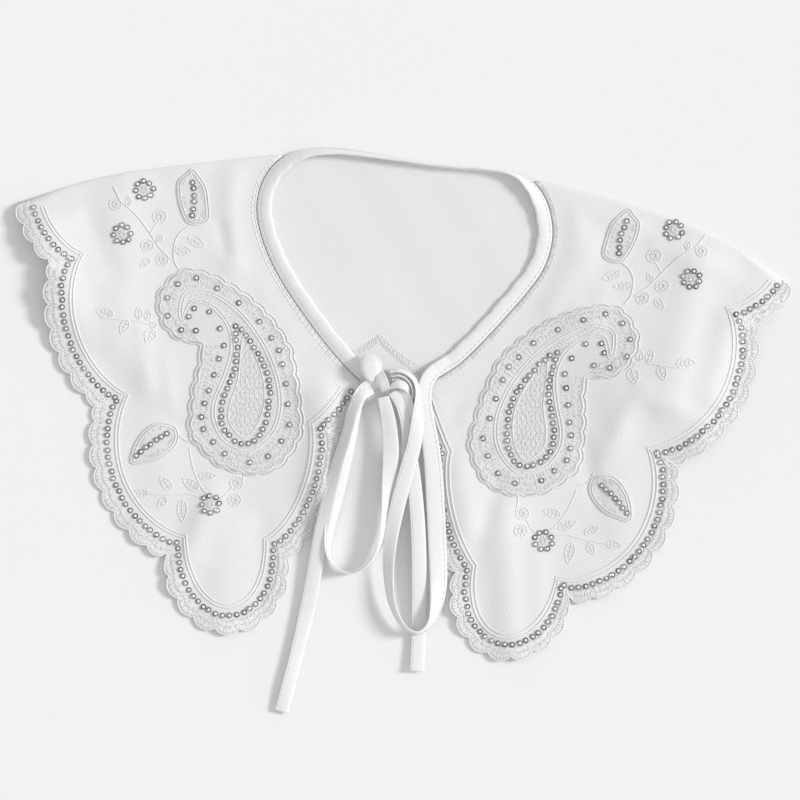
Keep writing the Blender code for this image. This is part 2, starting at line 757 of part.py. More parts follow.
def main():
    for obj in list(bpy.data.objects):
        bpy.data.objects.remove(obj, do_unlink=True)
    collection = bpy.data.collections.new("embroidered_collar")
    bpy.context.scene.collection.children.link(collection)
    cutters = bpy.data.collections.new("cutters")
    bpy.context.scene.collection.children.link(cutters)
    back(collection)
    front("left", collection)
    front("right", collection)
    hem_cord("left", LEFT_HEM_LINE, collection)
    hem_cord("right", RIGHT_HEM_LINE, collection)
    neck_binding(collection)
    knot(collection, cutters)
    tie("tail_left", TAIL_LEFT, collection)
    tie("tail_right", TAIL_RIGHT, collection)
    tie("loop_left", LOOP_LEFT, collection)
    tie("loop_right", LOOP_RIGHT, collection)


main()
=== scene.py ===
# Looks of the embroidered collar: net panels as thin shells with their creases, raised motifs in
# satin stitch, corded lines, an overcast scalloped edge, sequins, and a satin binding that runs on
# into the tied bow. Left and right are the viewer's.
#
# Tables are in millimetres, measured from the middle between the two shoulder tips, +X to the
# right and +Y to the back of the neck. They start from the sizes that the solids were made from.
# The binding, the ties, the knot and the creases were then brought closer to the photo.

import math

import bpy
import numpy as np
from mathutils import Matrix, Vector
from mathutils.geometry import delaunay_2d_cdt


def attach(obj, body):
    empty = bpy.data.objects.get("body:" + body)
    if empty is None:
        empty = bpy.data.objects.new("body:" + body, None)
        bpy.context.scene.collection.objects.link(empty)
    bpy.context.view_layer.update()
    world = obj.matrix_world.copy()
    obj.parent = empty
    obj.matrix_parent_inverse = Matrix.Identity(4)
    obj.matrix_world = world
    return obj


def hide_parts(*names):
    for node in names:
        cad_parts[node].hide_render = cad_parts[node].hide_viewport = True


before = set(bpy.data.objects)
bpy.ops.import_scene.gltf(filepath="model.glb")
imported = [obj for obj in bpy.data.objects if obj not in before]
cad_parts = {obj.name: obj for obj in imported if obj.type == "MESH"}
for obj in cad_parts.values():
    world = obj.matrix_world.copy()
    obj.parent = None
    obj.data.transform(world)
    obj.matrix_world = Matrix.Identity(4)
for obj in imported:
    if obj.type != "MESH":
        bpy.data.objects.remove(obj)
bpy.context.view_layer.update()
RANDOM = np.random.default_rng(7)

MM = 0.001
ORIGIN = np.array((-1.2, -81.85, 0.0))

# Cloth
NET_WALL = 1.0
NET_SHELL = 0.4
SEAM_GAP = 0.3
FRONT_LIFT = NET_WALL + SEAM_GAP
GRID = 2.4
EASE_FROM = 4.0
EASE_TO = 22.0
CREASE_FROM = 2.0
CREASE_TO = 18.0
FOLD_ROLL = ((0.9, 0.9), (1.5, 0.62), (1.6, 0.25), (1.6, 0.04))

# Hem
LEFT_BAND = 12.0
RIGHT_BAND = 10.0
BACK_BAND = 12.0
SCALLOP_PITCH = 12.5
SCALLOP_DEPTH = 2.8
SCALLOP_STEPS = 12
SCALLOP_ROUNDNESS = 0.7
HEM_SAMPLES = 60
CUSP_SHARE = 0.3
CUSP_NEAR = 0.1

# Neck binding
BINDING_WIDTH = 7.8
BINDING_EDGE = 1.0
UPRIGHT_LESS = 0.42
BINDING_STEP = 8
SEAM_EDGE_Z = FRONT_LIFT + 0.9

# Each lobe of a hem ends at a cusp. Columns: cusp x, cusp y, how deep the lobe bellies out from
# the line between its cusps, how far its belly leans on along that line, and how pointed it is.
LEFT_HEM_START = (-191, 6)
LEFT_HEM = (
    (-166.6, -21.6, 5, 0, 1.5),
    (-135.7, -92, 15.3, 0, 1.6),
    (-98.1, -161.8, 18.3, 1, 1.6),
    (-56.6, -159, 35.6, 2.5, 0.9),
    (-39.6, -96.6, 8.9, -2, 1.6),
    (-23.5, -70.5, 2.3, 0, 1.6),
)
LEFT_TIP_WAY = (-0.90, -0.43)
LEFT_END_WAY = (0.90, -0.44)
RIGHT_HEM_START = (192, 5.6)
RIGHT_HEM = (
    (169.3, -14.7, 3.5, 0, 1.5),
    (136, -91.4, 19.8, 0, 1.6),
    (96, -163, 22.7, 2, 1.45),
    (52.9, -161.2, 34.2, 1.5, 0.9),
    (33.9, -104.1, 5.6, 0, 1.6),
    (18, -71.5, 0.5, 0, 1.6),
)
RIGHT_TIP_WAY = (0.84, -0.54)
RIGHT_END_WAY = (-0.92, -0.40)
BACK_LEFT_HEM_START = (-189.5, 4)
BACK_LEFT_HEM = (
    (-160, -19, 4, 0, 1.6),
    (-127, -51, 8, 0, 1.6),
    (-72, -68, 11, 0, 1.6),
    (-9, -46.4, 8, 0, 1.8),
)
BACK_RIGHT_HEM_START = (190.5, 3.6)
BACK_RIGHT_HEM = (
    (162, -14, 3.5, 0, 1.6),
    (120, -49, 8, 0, 1.6),
    (58, -68, 11, 0, 1.6),
    (-9, -46.4, 8, 0, 1.8),
)
BACK_END_WAY = (0, -1)

# The shoulder folds, from the neck out to the tips: x, y.
LEFT_FOLD = (
    (-85, 36.8), (-103, 32.6), (-125, 27.8), (-147, 22.6), (-165, 16.8), (-180, 10.6),
)
RIGHT_FOLD = (
    (76, 39.4), (98, 35.6), (116, 32.3), (133, 28.8), (151, 23), (172, 15.8),
)

# The binding's middle as seen from above: x, y, lean (0 flat into the opening, 90 upright), and how
# thick its roll is. It is a full roll on the left, a thin edge at the back and flatter on the right.
NECK = (
    (-13, -69.4, 4, 2.8), (-20, -64.3, 4, 3.1), (-30, -55.5, 4, 3.3),
    (-42, -43, 4, 3.4), (-54.5, -28.5, 4, 3.4), (-65, -14, 4, 3.4),
    (-72.5, 1, 5, 3.3), (-75.6, 14, 7, 3.2), (-73.5, 27, 12, 3),
    (-66.5, 37, 24, 2.8), (-55, 43, 40, 2.5), (-38, 45.2, 56, 2.3),
    (-10, 44.4, 74, 2.2), (16, 43.8, 92, 2), (36, 44.4, 98, 1.9),
    (50.5, 43, 70, 1.9), (61, 37.2, 32, 2.1), (68, 27, 13, 2.3),
    (71.3, 13, 6, 2.5), (68.8, -2, 3, 2.6), (62, -14.5, 2, 2.6),
    (53, -27.5, 2, 2.6), (43, -41, 2, 2.6), (31.8, -54.6, 3, 2.4),
    (22, -62.6, 4, 1.2),
)
LEFT_FRONT_ROW = 1
LEFT_NECK_ROW = 9
RIGHT_NECK_ROW = 16

# Soft creases: x, y, x, y, spread, height. The solids have the first ten, four of them higher.
CREASES = (
    (-92, 24, -88, -18, 8, 1.5),
    (-150, 8, -142, -62, 13, 1.8),
    (-128, -78, -112, -140, 9, 0.7),
    (-78, -154, -76, -186, 10, 1.2),
    (-172, -40, -158, -78, 9, 1),
    (84, 20, 78, -22, 9, 1.8),
    (152, 6, 146, -66, 14, 3),
    (118, -70, 126, -136, 10, 1.2),
    (66, -134, 74, -190, 10, 2.6),
    (46, -140, 40, -112, 8, 1.6),
    (-98, 2, -93, -12, 3.5, -0.9),
    (-132, -58, -126, -86, 5, 0.7),
    (-118, -72, -112, -96, 4, 0.6),
    (-150, 24, -112, 30, 5, 0.7),
    (-172, 4, -140, 16, 6, 0.8),
    (-166, -2, -150, -30, 6, -0.7),
    (-60, -66, -42, -84, 5, 0.8),
    (-70, -30, -50, -56, 5, 0.6),
    (-92, -150, -100, -186, 6, 0.8),
    (-60, -150, -56, -190, 6, -0.7),
    (104, 12, 96, -16, 6, -0.9),
    (92, -20, 88, -40, 6, 0.8),
    (128, -62, 112, -104, 6, 1.1),
    (134, -66, 160, -74, 6, 1),
    (102, -92, 112, -118, 5, -0.9),
    (58, -64, 40, -86, 5, 0.8),
    (24, -72, 30, -96, 5, 0.7),
    (60, -120, 54, -150, 5, -0.8),
    (84, -150, 90, -192, 6, 0.9),
    (130, 14, 168, 4, 6, 0.9),
    (120, 24, 96, 28, 4, 0.6),
    (-33, -84, -30, -130, 11, 4.2),
    (171, -22, 166, -62, 9, 2.8),
    (-86, -138, -92, -172, 8, 1.6),
    (96, 6, 100, -28, 9, 1.4),
)
# Wide swells, and the places where the hem's edge lifts: x, y, spread, height.
SWELLS = (
    (-184, -40, 26, 5.5),
    (-188, -6, 20, 2.5),
    (-56, -112, 26, 0.6),
    (134, -52, 38, 5.5),
    (48, -142, 18, 2.5),
)
EDGE_LIFTS = (
    (-190, -14, 13, 1.4), (-186, -48, 15, 1), (-164, -88, 13, 0.6),
    (-152, -124, 16, 0.7), (-120, -168, 13, 1.2), (-106, -186, 12, 1.6),
    (-72, -210, 12, 1.6), (-28, -132, 11, 1.4), (184, -12, 13, 2.2),
    (188, -44, 16, 0.8), (164, -86, 14, 1.8), (152, -128, 16, 0.9),
    (118, -172, 14, 1.6), (80, -210, 13, 2.4), (40, -186, 12, 2.6),
)

# The motifs' outlines on the left front: x, y. The right front has their mirror images, moved by
# the shift in MOTIFS.
PAISLEY = (
    (-117, -25.8), (-125.4, -38), (-124.1, -48), (-119.6, -55.9), (-112, -60.8),
    (-101.6, -62.4), (-100.8, -73), (-102.4, -84), (-102.6, -97), (-101.6, -109),
    (-93.6, -117.5), (-85.5, -123.4), (-76, -125.8), (-65, -126.2), (-53.6, -121.8),
    (-46.5, -112), (-43, -101.5), (-44.4, -92), (-46.8, -80), (-50.3, -68.5),
    (-54, -57.9), (-65, -44.5), (-79.5, -33.2), (-97, -25.4), (-108.4, -23.3),
)
UPPER_LEAF = (
    (-114.9, 28.8), (-110.2, 24.6), (-106.5, 19.2), (-104.3, 10.5), (-103.6, 3.8), (-106.2, 0.9),
    (-111.8, -0.2), (-115.7, 2), (-119.7, 10), (-121.6, 18.1), (-121, 22.4), (-117.7, 25.9),
)
LOWER_LEAF = (
    (-130, -127), (-129.7, -119.1), (-125.9, -110.9), (-118.7, -104.9), (-109, -106.4),
    (-107.6, -114.4), (-114.7, -122.8), (-122.7, -126.2),
)
MOTIFS = {
    "paisley": (PAISLEY, (0, 3.5)),
    "upper_leaf": (UPPER_LEAF, (-1.5, 3.2)),
    "lower_leaf": (LOWER_LEAF, (0.5, -3)),
}
# Inside the paisley: the second corded outline, which hooks over at its tip, and the heart.
PAISLEY_INNER = (
    (-113.7, -46.9), (-112.2, -36.3), (-102.1, -33.7), (-91.3, -36.7), (-79.5, -44.9),
    (-67.6, -58.3), (-59.2, -73.6), (-55.5, -88.9), (-57.7, -102.7), (-65.6, -112.4),
    (-72.2, -114.7), (-83.6, -110.6), (-90.4, -100.4), (-91, -90), (-87.1, -76.5),
    (-84.9, -62.7), (-88.2, -51), (-97, -42.5), (-106.5, -40.9), (-110.7, -50.8),
)
PAISLEY_HEART = (
    (-78.9, -55.3), (-69, -70.5), (-64.9, -84.6), (-66.1, -97.9), (-72.9, -108),
    (-81.4, -101), (-82.4, -91.7), (-79.6, -78.4),
)
# Sequins: the close ring round the heart, and the loose ones along the paisley's border.
HEART_SEQUINS = (
    (-83.6, -50.5), (-76.2, -56.6), (-66.4, -70.2), (-62.7, -80.2), (-62.2, -89.6),
    (-63.2, -100.2), (-67.5, -109), (-75.3, -110.8), (-82.4, -106.3), (-86.2, -99.9),
    (-86.4, -91), (-84.4, -83), (-81.8, -72.8), (-81.7, -63.4),
)
BORDER_SEQUINS = (
    (-115.8, -31.9), (-106.9, -27.8), (-95.4, -31.9), (-83.2, -38.5), (-71.5, -46.7),
    (-64.3, -54.8), (-60.1, -60.7), (-57.2, -67.6), (-54.5, -77.8), (-52.5, -88.1),
    (-50.3, -98.8), (-53.6, -107.5), (-60, -116.1), (-69, -120.1), (-82.4, -117.3),
    (-88.7, -111.7), (-94.5, -106), (-96.3, -99.4), (-95.4, -92.6), (-94, -85.6),
    (-92.3, -77.1), (-90.6, -68.5), (-88.8, -61), (-91.7, -52.9), (-98.2, -44.7),
    (-106.3, -43.5), (-108.4, -48.4), (-103.5, -55.2), (-111.8, -55.6), (-119.8, -49.1),
    (-120.8, -39.8),
)
LEAF_SEQUINS = (
    ((-114.1, 22), (-112.1, 13), (-112.3, 4.5), 6),
    ((-127.8, -123.1), (-121.1, -116.2), (-113.4, -110.1), 7),
)
# Rings of sequins round a stitched star: x, y, radius, sequins.
RINGS = (
    (-138.5, 15.3, 4.5, 8),
    (-147.5, -9.1, 4.4, 8),
    (-86.9, -144.2, 4.6, 8),
)
# Stems: lists of x, y. The first three are corded, the others only sewn.
CORDED_STEMS = 3
STEMS = (
    ((-112.8, -0.8), (-117.1, -4.4), (-119.3, -8.3), (-120, -12), (-119.9, -15.7),
     (-119.2, -19.8), (-116.7, -23.7)),
    ((-154.7, 15.2), (-150.3, 8.3), (-144.7, 4.2), (-140.1, 0.5), (-136, -3.8), (-131.2, -9.5),
     (-127.1, -14.3), (-121.4, -18.9)),
    ((-109, -106), (-106, -111), (-101.5, -113)),
    ((-154.3, -53.7), (-144, -53.6), (-135, -53.3), (-124.3, -55.8)),
    ((-119, -142), (-108.6, -141.5), (-98.3, -139.9), (-92, -141.5)),
    ((-101, -116), (-98, -126), (-93, -135), (-88.8, -139.4)),
    ((-82, -141), (-79, -137.6), (-76.8, -134.4)),
    ((-119.6, -12), (-117.4, -13.2), (-115.1, -14.1)),
    ((-118.6, -7), (-113.2, -7.2), (-108.8, -8.8)),
    ((-133, -7), (-131, -2.6), (-129.6, -1.4)),
    ((-71, -116), (-71.6, -124), (-71.2, -131)),
)
# Leaflets, sewn in outline with a midrib: x, y, way they point in degrees, length, width.
LEAFLETS = (
    (-108.8, -8.8, 333, 10, 5), (-115.1, -14.1, 354, 9, 5),
    (-152, -50.9, 170, 9.5, 5), (-141.2, -57.1, 250, 8, 4.4), (-134.4, -49.1, 100, 7, 3.6),
    (-129.7, -49.6, 85, 6, 3.4), (-126.5, -54.5, 135, 5, 3), (-127.5, -60.4, 250, 8, 6),
    (-123.4, -142.2, 186, 7.8, 4.7), (-111, -135.7, 138, 8.5, 4.7), (-98.3, -134.7, 151, 10, 5),
    (-90, -129.6, 6, 9, 4.2), (-101, -149, 276, 11.4, 5), (-111.8, -145.7, 240, 7, 4),
    (-133.9, -22.6, 225, 6.4, 3.4), (-127.8, -9, 60, 5, 2.8), (-146, 8.4, 100, 5, 2.8),
)
# Small round flowers, sewn in outline: x, y, radius.
FLOWERS = (
    (-129.3, 2.2, 4.2), (-133.9, -13.5, 3.8), (-125.4, -19.9, 3.8), (-152.7, 6, 3.6),
    (-74.6, -131.7, 4), (-74.7, -140.5, 4),
)
# How far the right front's sprigs lie from the left ones' mirror images: x, y, shift x, shift y.
MIRROR_SHIFTS = (
    (138, 15, -0.9, 8.3), (148, -9, 2.2, 7.6), (112, 13, -1.5, 3.2),
    (80, -75, 0, 3.5), (126, -57, -3.4, 5.2), (119, -116, 0.5, -3),
    (87, -144, 0, -0.7),
)

# The ties: x, y, height of the middle, turn about its length (0 flat, 90 on edge), width.
TIE_THICK = 1.5
TAIL_LEFT = (
    (-9.8, -76.4, 5.4, 0, 5), (-15.2, -80.4, 8.6, -18, 6.2), (-18.2, -88, 9.6, -32, 7),
    (-19.6, -97, 9.2, -40, 7.4), (-21.2, -106, 8.6, -38, 7.5), (-23.6, -118, 7.8, -32, 7.5),
    (-26, -134, 6.6, -18, 7.6), (-28, -152, 5.4, -4, 7.8), (-29.4, -172, 3.9, 2, 7.8),
    (-31.1, -192, 2.8, 6, 7.8), (-33.8, -214, 2.3, 14, 7.2), (-36.8, -234, 2.4, 12, 7.2),
    (-39, -247, 2, 4, 7),
)
TAIL_RIGHT = (
    (1.2, -76.2, 6, 12, 5.6), (6.4, -82.4, 6.2, 14, 6.8), (10.4, -92.4, 5.6, 12, 7.2),
    (12.9, -105.3, 5.4, 10, 7.2), (16.8, -121, 5.6, 8, 7.4), (20.6, -140, 5.8, 8, 7.6),
    (23.4, -159, 5.8, 10, 7.8), (25.4, -177, 4.8, 10, 7.8), (27.2, -196, 2.4, 8, 7.6),
    (28, -207, 2.2, 10, 7.6), (28.6, -219, 3, 8, 7.4),
)
LOOP_LEFT = (
    (-7.4, -72.8, 5.6, 12, 5.4), (-13, -75.6, 6.4, 20, 6.4), (-16.2, -81.2, 6.6, 26, 7),
    (-17.6, -90, 6.2, 28, 7.4), (-18.8, -103, 5.6, 26, 7.8), (-20.6, -120, 4.9, 22, 7.8),
    (-22.6, -136, 4.2, 26, 7.6), (-24.2, -151, 3.9, 48, 7.2), (-23.4, -163.4, 4.3, 72, 6.8),
    (-17.6, -170.6, 5, 84, 6.8), (-10, -172, 5.4, 86, 7), (-2.4, -167, 6, 92, 7.3),
    (2.4, -157.5, 6.4, 104, 7.4),
    (4.4, -142.6, 6.6, 130, 7.7), (4.2, -124.4, 7, 160, 8), (3.2, -106.4, 7.2, 180, 8.4),
    (0.2, -91, 7, 184, 7.6), (-3.6, -79.6, 6.4, 176, 6),
)
LOOP_RIGHT = (
    (28.6, -57.2, 2.8, 5, 6.4), (24.4, -60.8, 3.6, 7, 7.4), (20.4, -64.6, 4.6, 9, 7.6),
    (18, -69.6, 5.2, 10, 7.5), (17.5, -76, 5.6, 9, 7.6), (18.9, -85.4, 5.6, 8, 8.2),
    (22.2, -97, 5.4, 6, 8.8), (25.6, -111, 5.2, 6, 9.2), (28.8, -130, 5, 7, 9.6),
    (32.2, -152, 4.9, 9, 9.6), (34.8, -171, 5, 16, 9.4), (35, -184.5, 5.4, 40, 8.4),
    (32.6, -194.4, 6.2, 68, 7.4), (26.4, -199.4, 6.6, 82, 6.8), (18.6, -195.8, 6.8, 76, 6.9),
    (11.8, -184.7, 7, 62, 7.2), (8.5, -168.6, 7.2, 42, 7.5), (8, -152.9, 7.4, 20, 7.6),
    (9.5, -136.6, 7.8, 0, 7.8), (12.5, -117, 8, -6, 7.8), (14.8, -104, 8, -10, 7.6),
    (15.4, -93, 7.8, -18, 7.2), (15, -84, 7.6, -40, 6.2), (14.3, -76, 7.4, -60, 5.4),
    (13, -71.2, 7.2, -62, 5.2),
)
# The knot's turns of strip: x, y, z, turn, width, thickness.
KNOT_TURNS = {
    "puff": (
        (-12.6, -58.4, 5.4, -8, 4, 2.4), (-12.6, -60, 7, -6, 8.4, 4.4),
        (-12.1, -62.6, 8.2, -2, 11, 5.8), (-11.2, -65.6, 8.6, 0, 11.4, 6),
        (-9.8, -68.6, 7.4, 6, 9.6, 5.2), (-8.2, -71, 5.6, 10, 6, 3.2),
    ),
    "wrap": (
        (-7.4, -66.4, 7.4, -14, 4.4, 1.2), (-6.2, -68.8, 9.2, -18, 5.2, 1.4),
        (-4.8, -71.6, 9.8, -18, 5.6, 1.5), (-3.6, -74.2, 8.6, -12, 5.4, 1.5),
        (-2.8, -76.2, 5.6, -6, 4.8, 1.4),
    ),
    "curl_outer": (
        (-1.8, -65.8, 5.8, 60, 4.6, 1), (2.2, -64.9, 6.4, 62, 5, 1),
        (6.2, -65.4, 6.8, 62, 5.2, 1), (10.2, -67.6, 7, 62, 5.2, 1),
        (12.9, -71, 7.2, 62, 5.2, 1), (14.3, -75.4, 7.2, 62, 4.8, 0.9),
        (14.8, -80.4, 7, 56, 4, 0.8),
    ),
    "curl_middle": (
        (-0.6, -67.6, 5.4, 56, 4.4, 0.9), (3.4, -66.9, 6.2, 58, 4.6, 0.9),
        (7.2, -68, 6.5, 58, 4.8, 0.9), (10.2, -70.6, 6.6, 58, 4.8, 0.9),
        (12, -74.4, 6.5, 58, 4.6, 0.9), (12.4, -78.6, 6.2, 56, 4.4, 0.9),
    ),
    "curl_inner": (
        (0, -69.6, 4.8, 52, 4.2, 0.9), (3.4, -69, 5.5, 54, 4.4, 0.9),
        (6.6, -70.2, 5.8, 54, 4.4, 0.9), (9, -72.8, 5.8, 54, 4.2, 0.9),
        (10.4, -76.4, 5.5, 52, 4, 0.9),
    ),
    "crescent": (
        (-0.6, -74.6, 6.8, 4, 2, 1.1), (2.2, -72.8, 8, 10, 4, 1.4),
        (5.4, -72.4, 8.4, 14, 4.8, 1.5), (8.2, -74, 7.8, 16, 3.6, 1.3),
        (9.6, -76.4, 6.4, 16, 1.8, 1.1),
    ),
    "inner_leaf": (
        (4.2, -75, 5.8, -16, 5, 1), (7.4, -78, 6.4, -18, 6.4, 1),
        (9.6, -82, 6.4, -20, 6, 1), (11.2, -86.4, 5.8, -22, 4.4, 1),
        (12.4, -91.4, 5, -24, 2, 1),
    ),
}


# Geometry in the plane, on arrays of points

def metres(points):
    """Points of the tables as points of the model."""
    return (np.asarray(points, float) - ORIGIN) * MM


def unit(way):
    """The ways again, each of length 1."""
    way = np.asarray(way, float)
    return way / np.maximum(np.linalg.norm(way, axis=-1, keepdims=True), 1e-9)


def ease(x):
    """0 below 0, 1 above 1 and an S between them."""
    x = np.clip(x, 0.0, 1.0)
    return x * x * (3 - 2 * x)


def smooth_rows(rows, steps, closed=False):
    """The rows again, with steps rows for each, on a smooth curve through all their columns."""
    rows = np.array(rows, float)
    if closed:
        around = np.concatenate((rows[-1:], rows, rows[:2]))
    else:
        around = np.concatenate((rows[:1], rows, rows[-1:]))
    a, b, c, d = around[:-3], around[1:-2], around[2:-1], around[3:]
    t = (np.arange(steps) / steps)[:, None, None]
    square, cube = 2 * a - 5 * b + 4 * c - d, 3 * b - a - 3 * c + d
    out = 0.5 * (2 * b + (c - a) * t + square * t ** 2 + cube * t ** 3)
    out = out.transpose(1, 0, 2).reshape(-1, rows.shape[1])
    return out if closed else np.vstack((out, rows[-1:]))


def distances(line):
    """How far along a line each of its points is."""
    return np.concatenate(([0.0], np.cumsum(np.linalg.norm(np.diff(line, axis=0), axis=1))))


def level_right(run):
    """Level ways to the right of runs in space."""
    return unit(np.stack((run[..., 1], -run[..., 0], np.zeros(run.shape[:-1])), -1))


def round_angles(count):
    """Even angles round a circle."""
    return 2 * np.pi * np.arange(count) / count


def directions(degrees):
    """The ways along and across at an angle in the plane."""
    way = math.radians(degrees)
    return np.array((math.cos(way), math.sin(way))), np.array((-math.sin(way), math.cos(way)))


def evenly(line, step, closed=False):
    """The line again with points at even steps along it."""
    line = np.asarray(line, float)
    if closed:
        line = np.vstack((line, line[:1]))
    far = distances(line)
    count = max(2, round(far[-1] / step))
    spots = np.linspace(0, far[-1], count + 1)
    if closed:
        spots = spots[:-1]
    return np.stack([np.interp(spots, far, line[:, k]) for k in range(line.shape[1])], -1)


def off_segment(points, a, b):
    """How far each point is from the segment between a and b."""
    d = b - a
    along = np.clip(((points - a) @ d) / max(d @ d, 1e-9), 0, 1)
    return np.linalg.norm(points - a - along[:, None] * d, axis=1)


def off_outline(points, outline):
    """How far each point is from a closed outline."""
    far = np.full(len(points), 1e9)
    for a, b in zip(outline, np.roll(outline, -1, axis=0)):
        far = np.minimum(far, off_segment(points, a, b))
    return far


def inside(points, outline):
    """Whether each point is inside a closed outline."""
    odd = np.zeros(len(points), bool)
    x, y = points[:, 0], points[:, 1]
    for a, b in zip(outline, np.roll(outline, -1, axis=0)):
        if a[1] != b[1]:
            spans = (a[1] > y) != (b[1] > y)
            odd ^= spans & (x < a[0] + (y - a[1]) * (b[0] - a[0]) / (b[1] - a[1]))
    return odd


class Hem:
    """A hem of lobes between cusps. Its outer side is on the right of its run when side is 1."""

    def __init__(self, start, rows, side, band, tip_way, end_way):
        ends = [start] + [row[:2] for row in rows]
        self.lobes = [(np.array(a), np.array(b), *row[2:]) for a, b, row in zip(ends, ends[1:], rows)]
        self.side = side
        self.band = band
        self.tip_way = unit(tip_way)
        self.end_way = unit(end_way)
        self.steps = [self.lobe_steps(i) for i in range(len(self.lobes))]

    def on_cord(self, i, t):
        a, b, depth, lean, power = self.lobes[i]
        along = unit(b - a)
        out = np.array((along[1], -along[0])) * self.side
        t = np.asarray(t, float)[..., None]
        swell = np.maximum(np.sin(np.pi * t), 0.0)
        chord = a + (b - a) * (1 - np.cos(np.pi * t)) / 2
        return chord + along * lean * swell + out * depth * swell ** power

    def out_from(self, i, t):
        t = np.clip(t, CUSP_NEAR, 1 - CUSP_NEAR)
        near = CUSP_NEAR / 5
        run = self.on_cord(i, t + near) - self.on_cord(i, t - near)
        return unit(np.stack((run[..., 1], -run[..., 0]), -1) * self.side)

    def at(self, i, t, distance):
        """Points that far outside the corded line. At a cusp its two lobes share one way out."""
        t = np.asarray(t, float)
        own = self.out_from(i, t)
        first, last = self.tip_way, self.end_way
        if i > 0:
            first = unit(self.out_from(i - 1, 1.0) + self.out_from(i, 0.0))
        if i < len(self.lobes) - 1:
            last = unit(self.out_from(i, 1.0) + self.out_from(i + 1, 0.0))
        shared = np.where((t < 0.5)[:, None], first, last)
        share = (1 - ease(np.minimum(t, 1 - t) / CUSP_SHARE))[:, None]
        way = unit(own * (1 - share) + shared * share)
        return self.on_cord(i, t) + way * np.reshape(distance, (-1, 1))

    def lobe_steps(self, i):
        """Even steps along the lobe's edge, SCALLOP_STEPS to a scallop."""
        fine = np.linspace(0, 1, HEM_SAMPLES + 1)
        line = self.at(i, fine, self.band)
        far = distances(line)
        count = max(1, round(far[-1] / SCALLOP_PITCH)) * SCALLOP_STEPS
        return np.interp(far[-1] * np.arange(count) / count, far, fine)

    def line(self, distance, depth=0.0, finer=1):
        """A line that far outside the corded line; depth adds the scallops to it."""
        rows = []
        for i, steps in enumerate(self.steps):
            number = np.arange(len(steps) * finer) / finer
            t = np.interp(number, np.arange(len(steps) + 1), np.append(steps, 1.0))
            swell = np.sin(np.pi * ((number % SCALLOP_STEPS) / SCALLOP_STEPS)) ** SCALLOP_ROUNDNESS
            rows.append(self.at(i, t, distance + depth * swell))
        rows.append(self.at(len(self.lobes) - 1, np.array([1.0]), distance))
        return np.vstack(rows)


def neck_stations(steps):
    """The binding's middle, way out and seam edge seen from above, its lean and its thickness."""
    rows = smooth_rows(NECK, steps)
    middle = rows[:, :2]
    run = unit(np.gradient(middle, axis=0))
    out = np.stack((-run[:, 1], run[:, 0]), -1)
    lean = np.radians(rows[:, 2])
    seam = middle + out * (BINDING_WIDTH / 2 * np.cos(lean))[:, None]
    return middle, out, seam, lean, rows[:, 3]


MIDDLE, OUT, SEAM, LEAN, ROLL = neck_stations(BINDING_STEP)
SEAM_LINE = SEAM + OUT * (SEAM_GAP + BINDING_EDGE / 2 * np.sin(LEAN))[:, None]
HEMS = {
    "left": Hem(LEFT_HEM_START, LEFT_HEM, 1, LEFT_BAND, LEFT_TIP_WAY, LEFT_END_WAY),
    "right": Hem(RIGHT_HEM_START, RIGHT_HEM, -1, RIGHT_BAND, RIGHT_TIP_WAY, RIGHT_END_WAY),
}
BACK_HEMS = {
    "left": Hem(BACK_LEFT_HEM_START, BACK_LEFT_HEM, 1, BACK_BAND, LEFT_TIP_WAY, BACK_END_WAY),
    "right": Hem(BACK_RIGHT_HEM_START, BACK_RIGHT_HEM, -1, BACK_BAND, RIGHT_TIP_WAY, BACK_END_WAY),
}


def front_outline(side):
    """A front's outline and how many of its first points lie on the shoulder fold."""
    if side == "left":
        neck, fold = SEAM_LINE[LEFT_FRONT_ROW * BINDING_STEP:LEFT_NECK_ROW * BINDING_STEP + 1], LEFT_FOLD
    else:
        neck, fold = SEAM_LINE[RIGHT_NECK_ROW * BINDING_STEP:][::-1], RIGHT_FOLD
    fold = evenly(np.vstack((neck[-1:], np.array(fold))), GRID)
    hem = HEMS[side]
    edge = hem.line(hem.band, SCALLOP_DEPTH)
    return np.vstack((fold, edge, neck[:-1])), len(fold) + 1


def back_outline():
    """The shoulder folds, the back of the neck under the binding, and the hem."""
    rows = slice(LEFT_NECK_ROW * BINDING_STEP, RIGHT_NECK_ROW * BINDING_STEP + 1)
    top = MIDDLE[rows] + OUT[rows] * SEAM_GAP
    edges = [BACK_HEMS[side].line(BACK_BAND, SCALLOP_DEPTH) for side in ("right", "left")]
    left, right = np.array(LEFT_FOLD), np.array(RIGHT_FOLD)
    return np.vstack((left[::-1], top, right, edges[0], edges[1][:-1][::-1]))


BACK_EDGE = back_outline()


def front_height(points):
    """The height of a front's upper face at each point."""
    points = np.asarray(points, float)
    off_back = np.where(inside(points, BACK_EDGE), 0.0, off_outline(points, BACK_EDGE[::3]))
    rest = FRONT_LIFT * (1 - ease((off_back - EASE_FROM) / (EASE_TO - EASE_FROM)))
    to_neck = np.full(len(points), 1e9)
    for seam in SEAM[::3]:
        to_neck = np.minimum(to_neck, np.linalg.norm(points - seam, axis=1))
    fade = ease((to_neck - CREASE_FROM) / (CREASE_TO - CREASE_FROM))
    high = np.zeros(len(points))
    for ax, ay, bx, by, spread, height in CREASES:
        far = off_segment(points, np.array((ax, ay)), np.array((bx, by)))
        high += height * np.exp(-((far / spread) ** 2))
    for x, y, spread, height in SWELLS + EDGE_LIFTS:
        high += height * np.exp(-np.sum((points - (x, y)) ** 2, axis=1) / spread ** 2)
    return rest + NET_WALL + high * fade


def laid(line, lift):
    """One line, seen from above, laid on the fronts at the lift above the cloth."""
    return on_front(line[None], lift)[0]


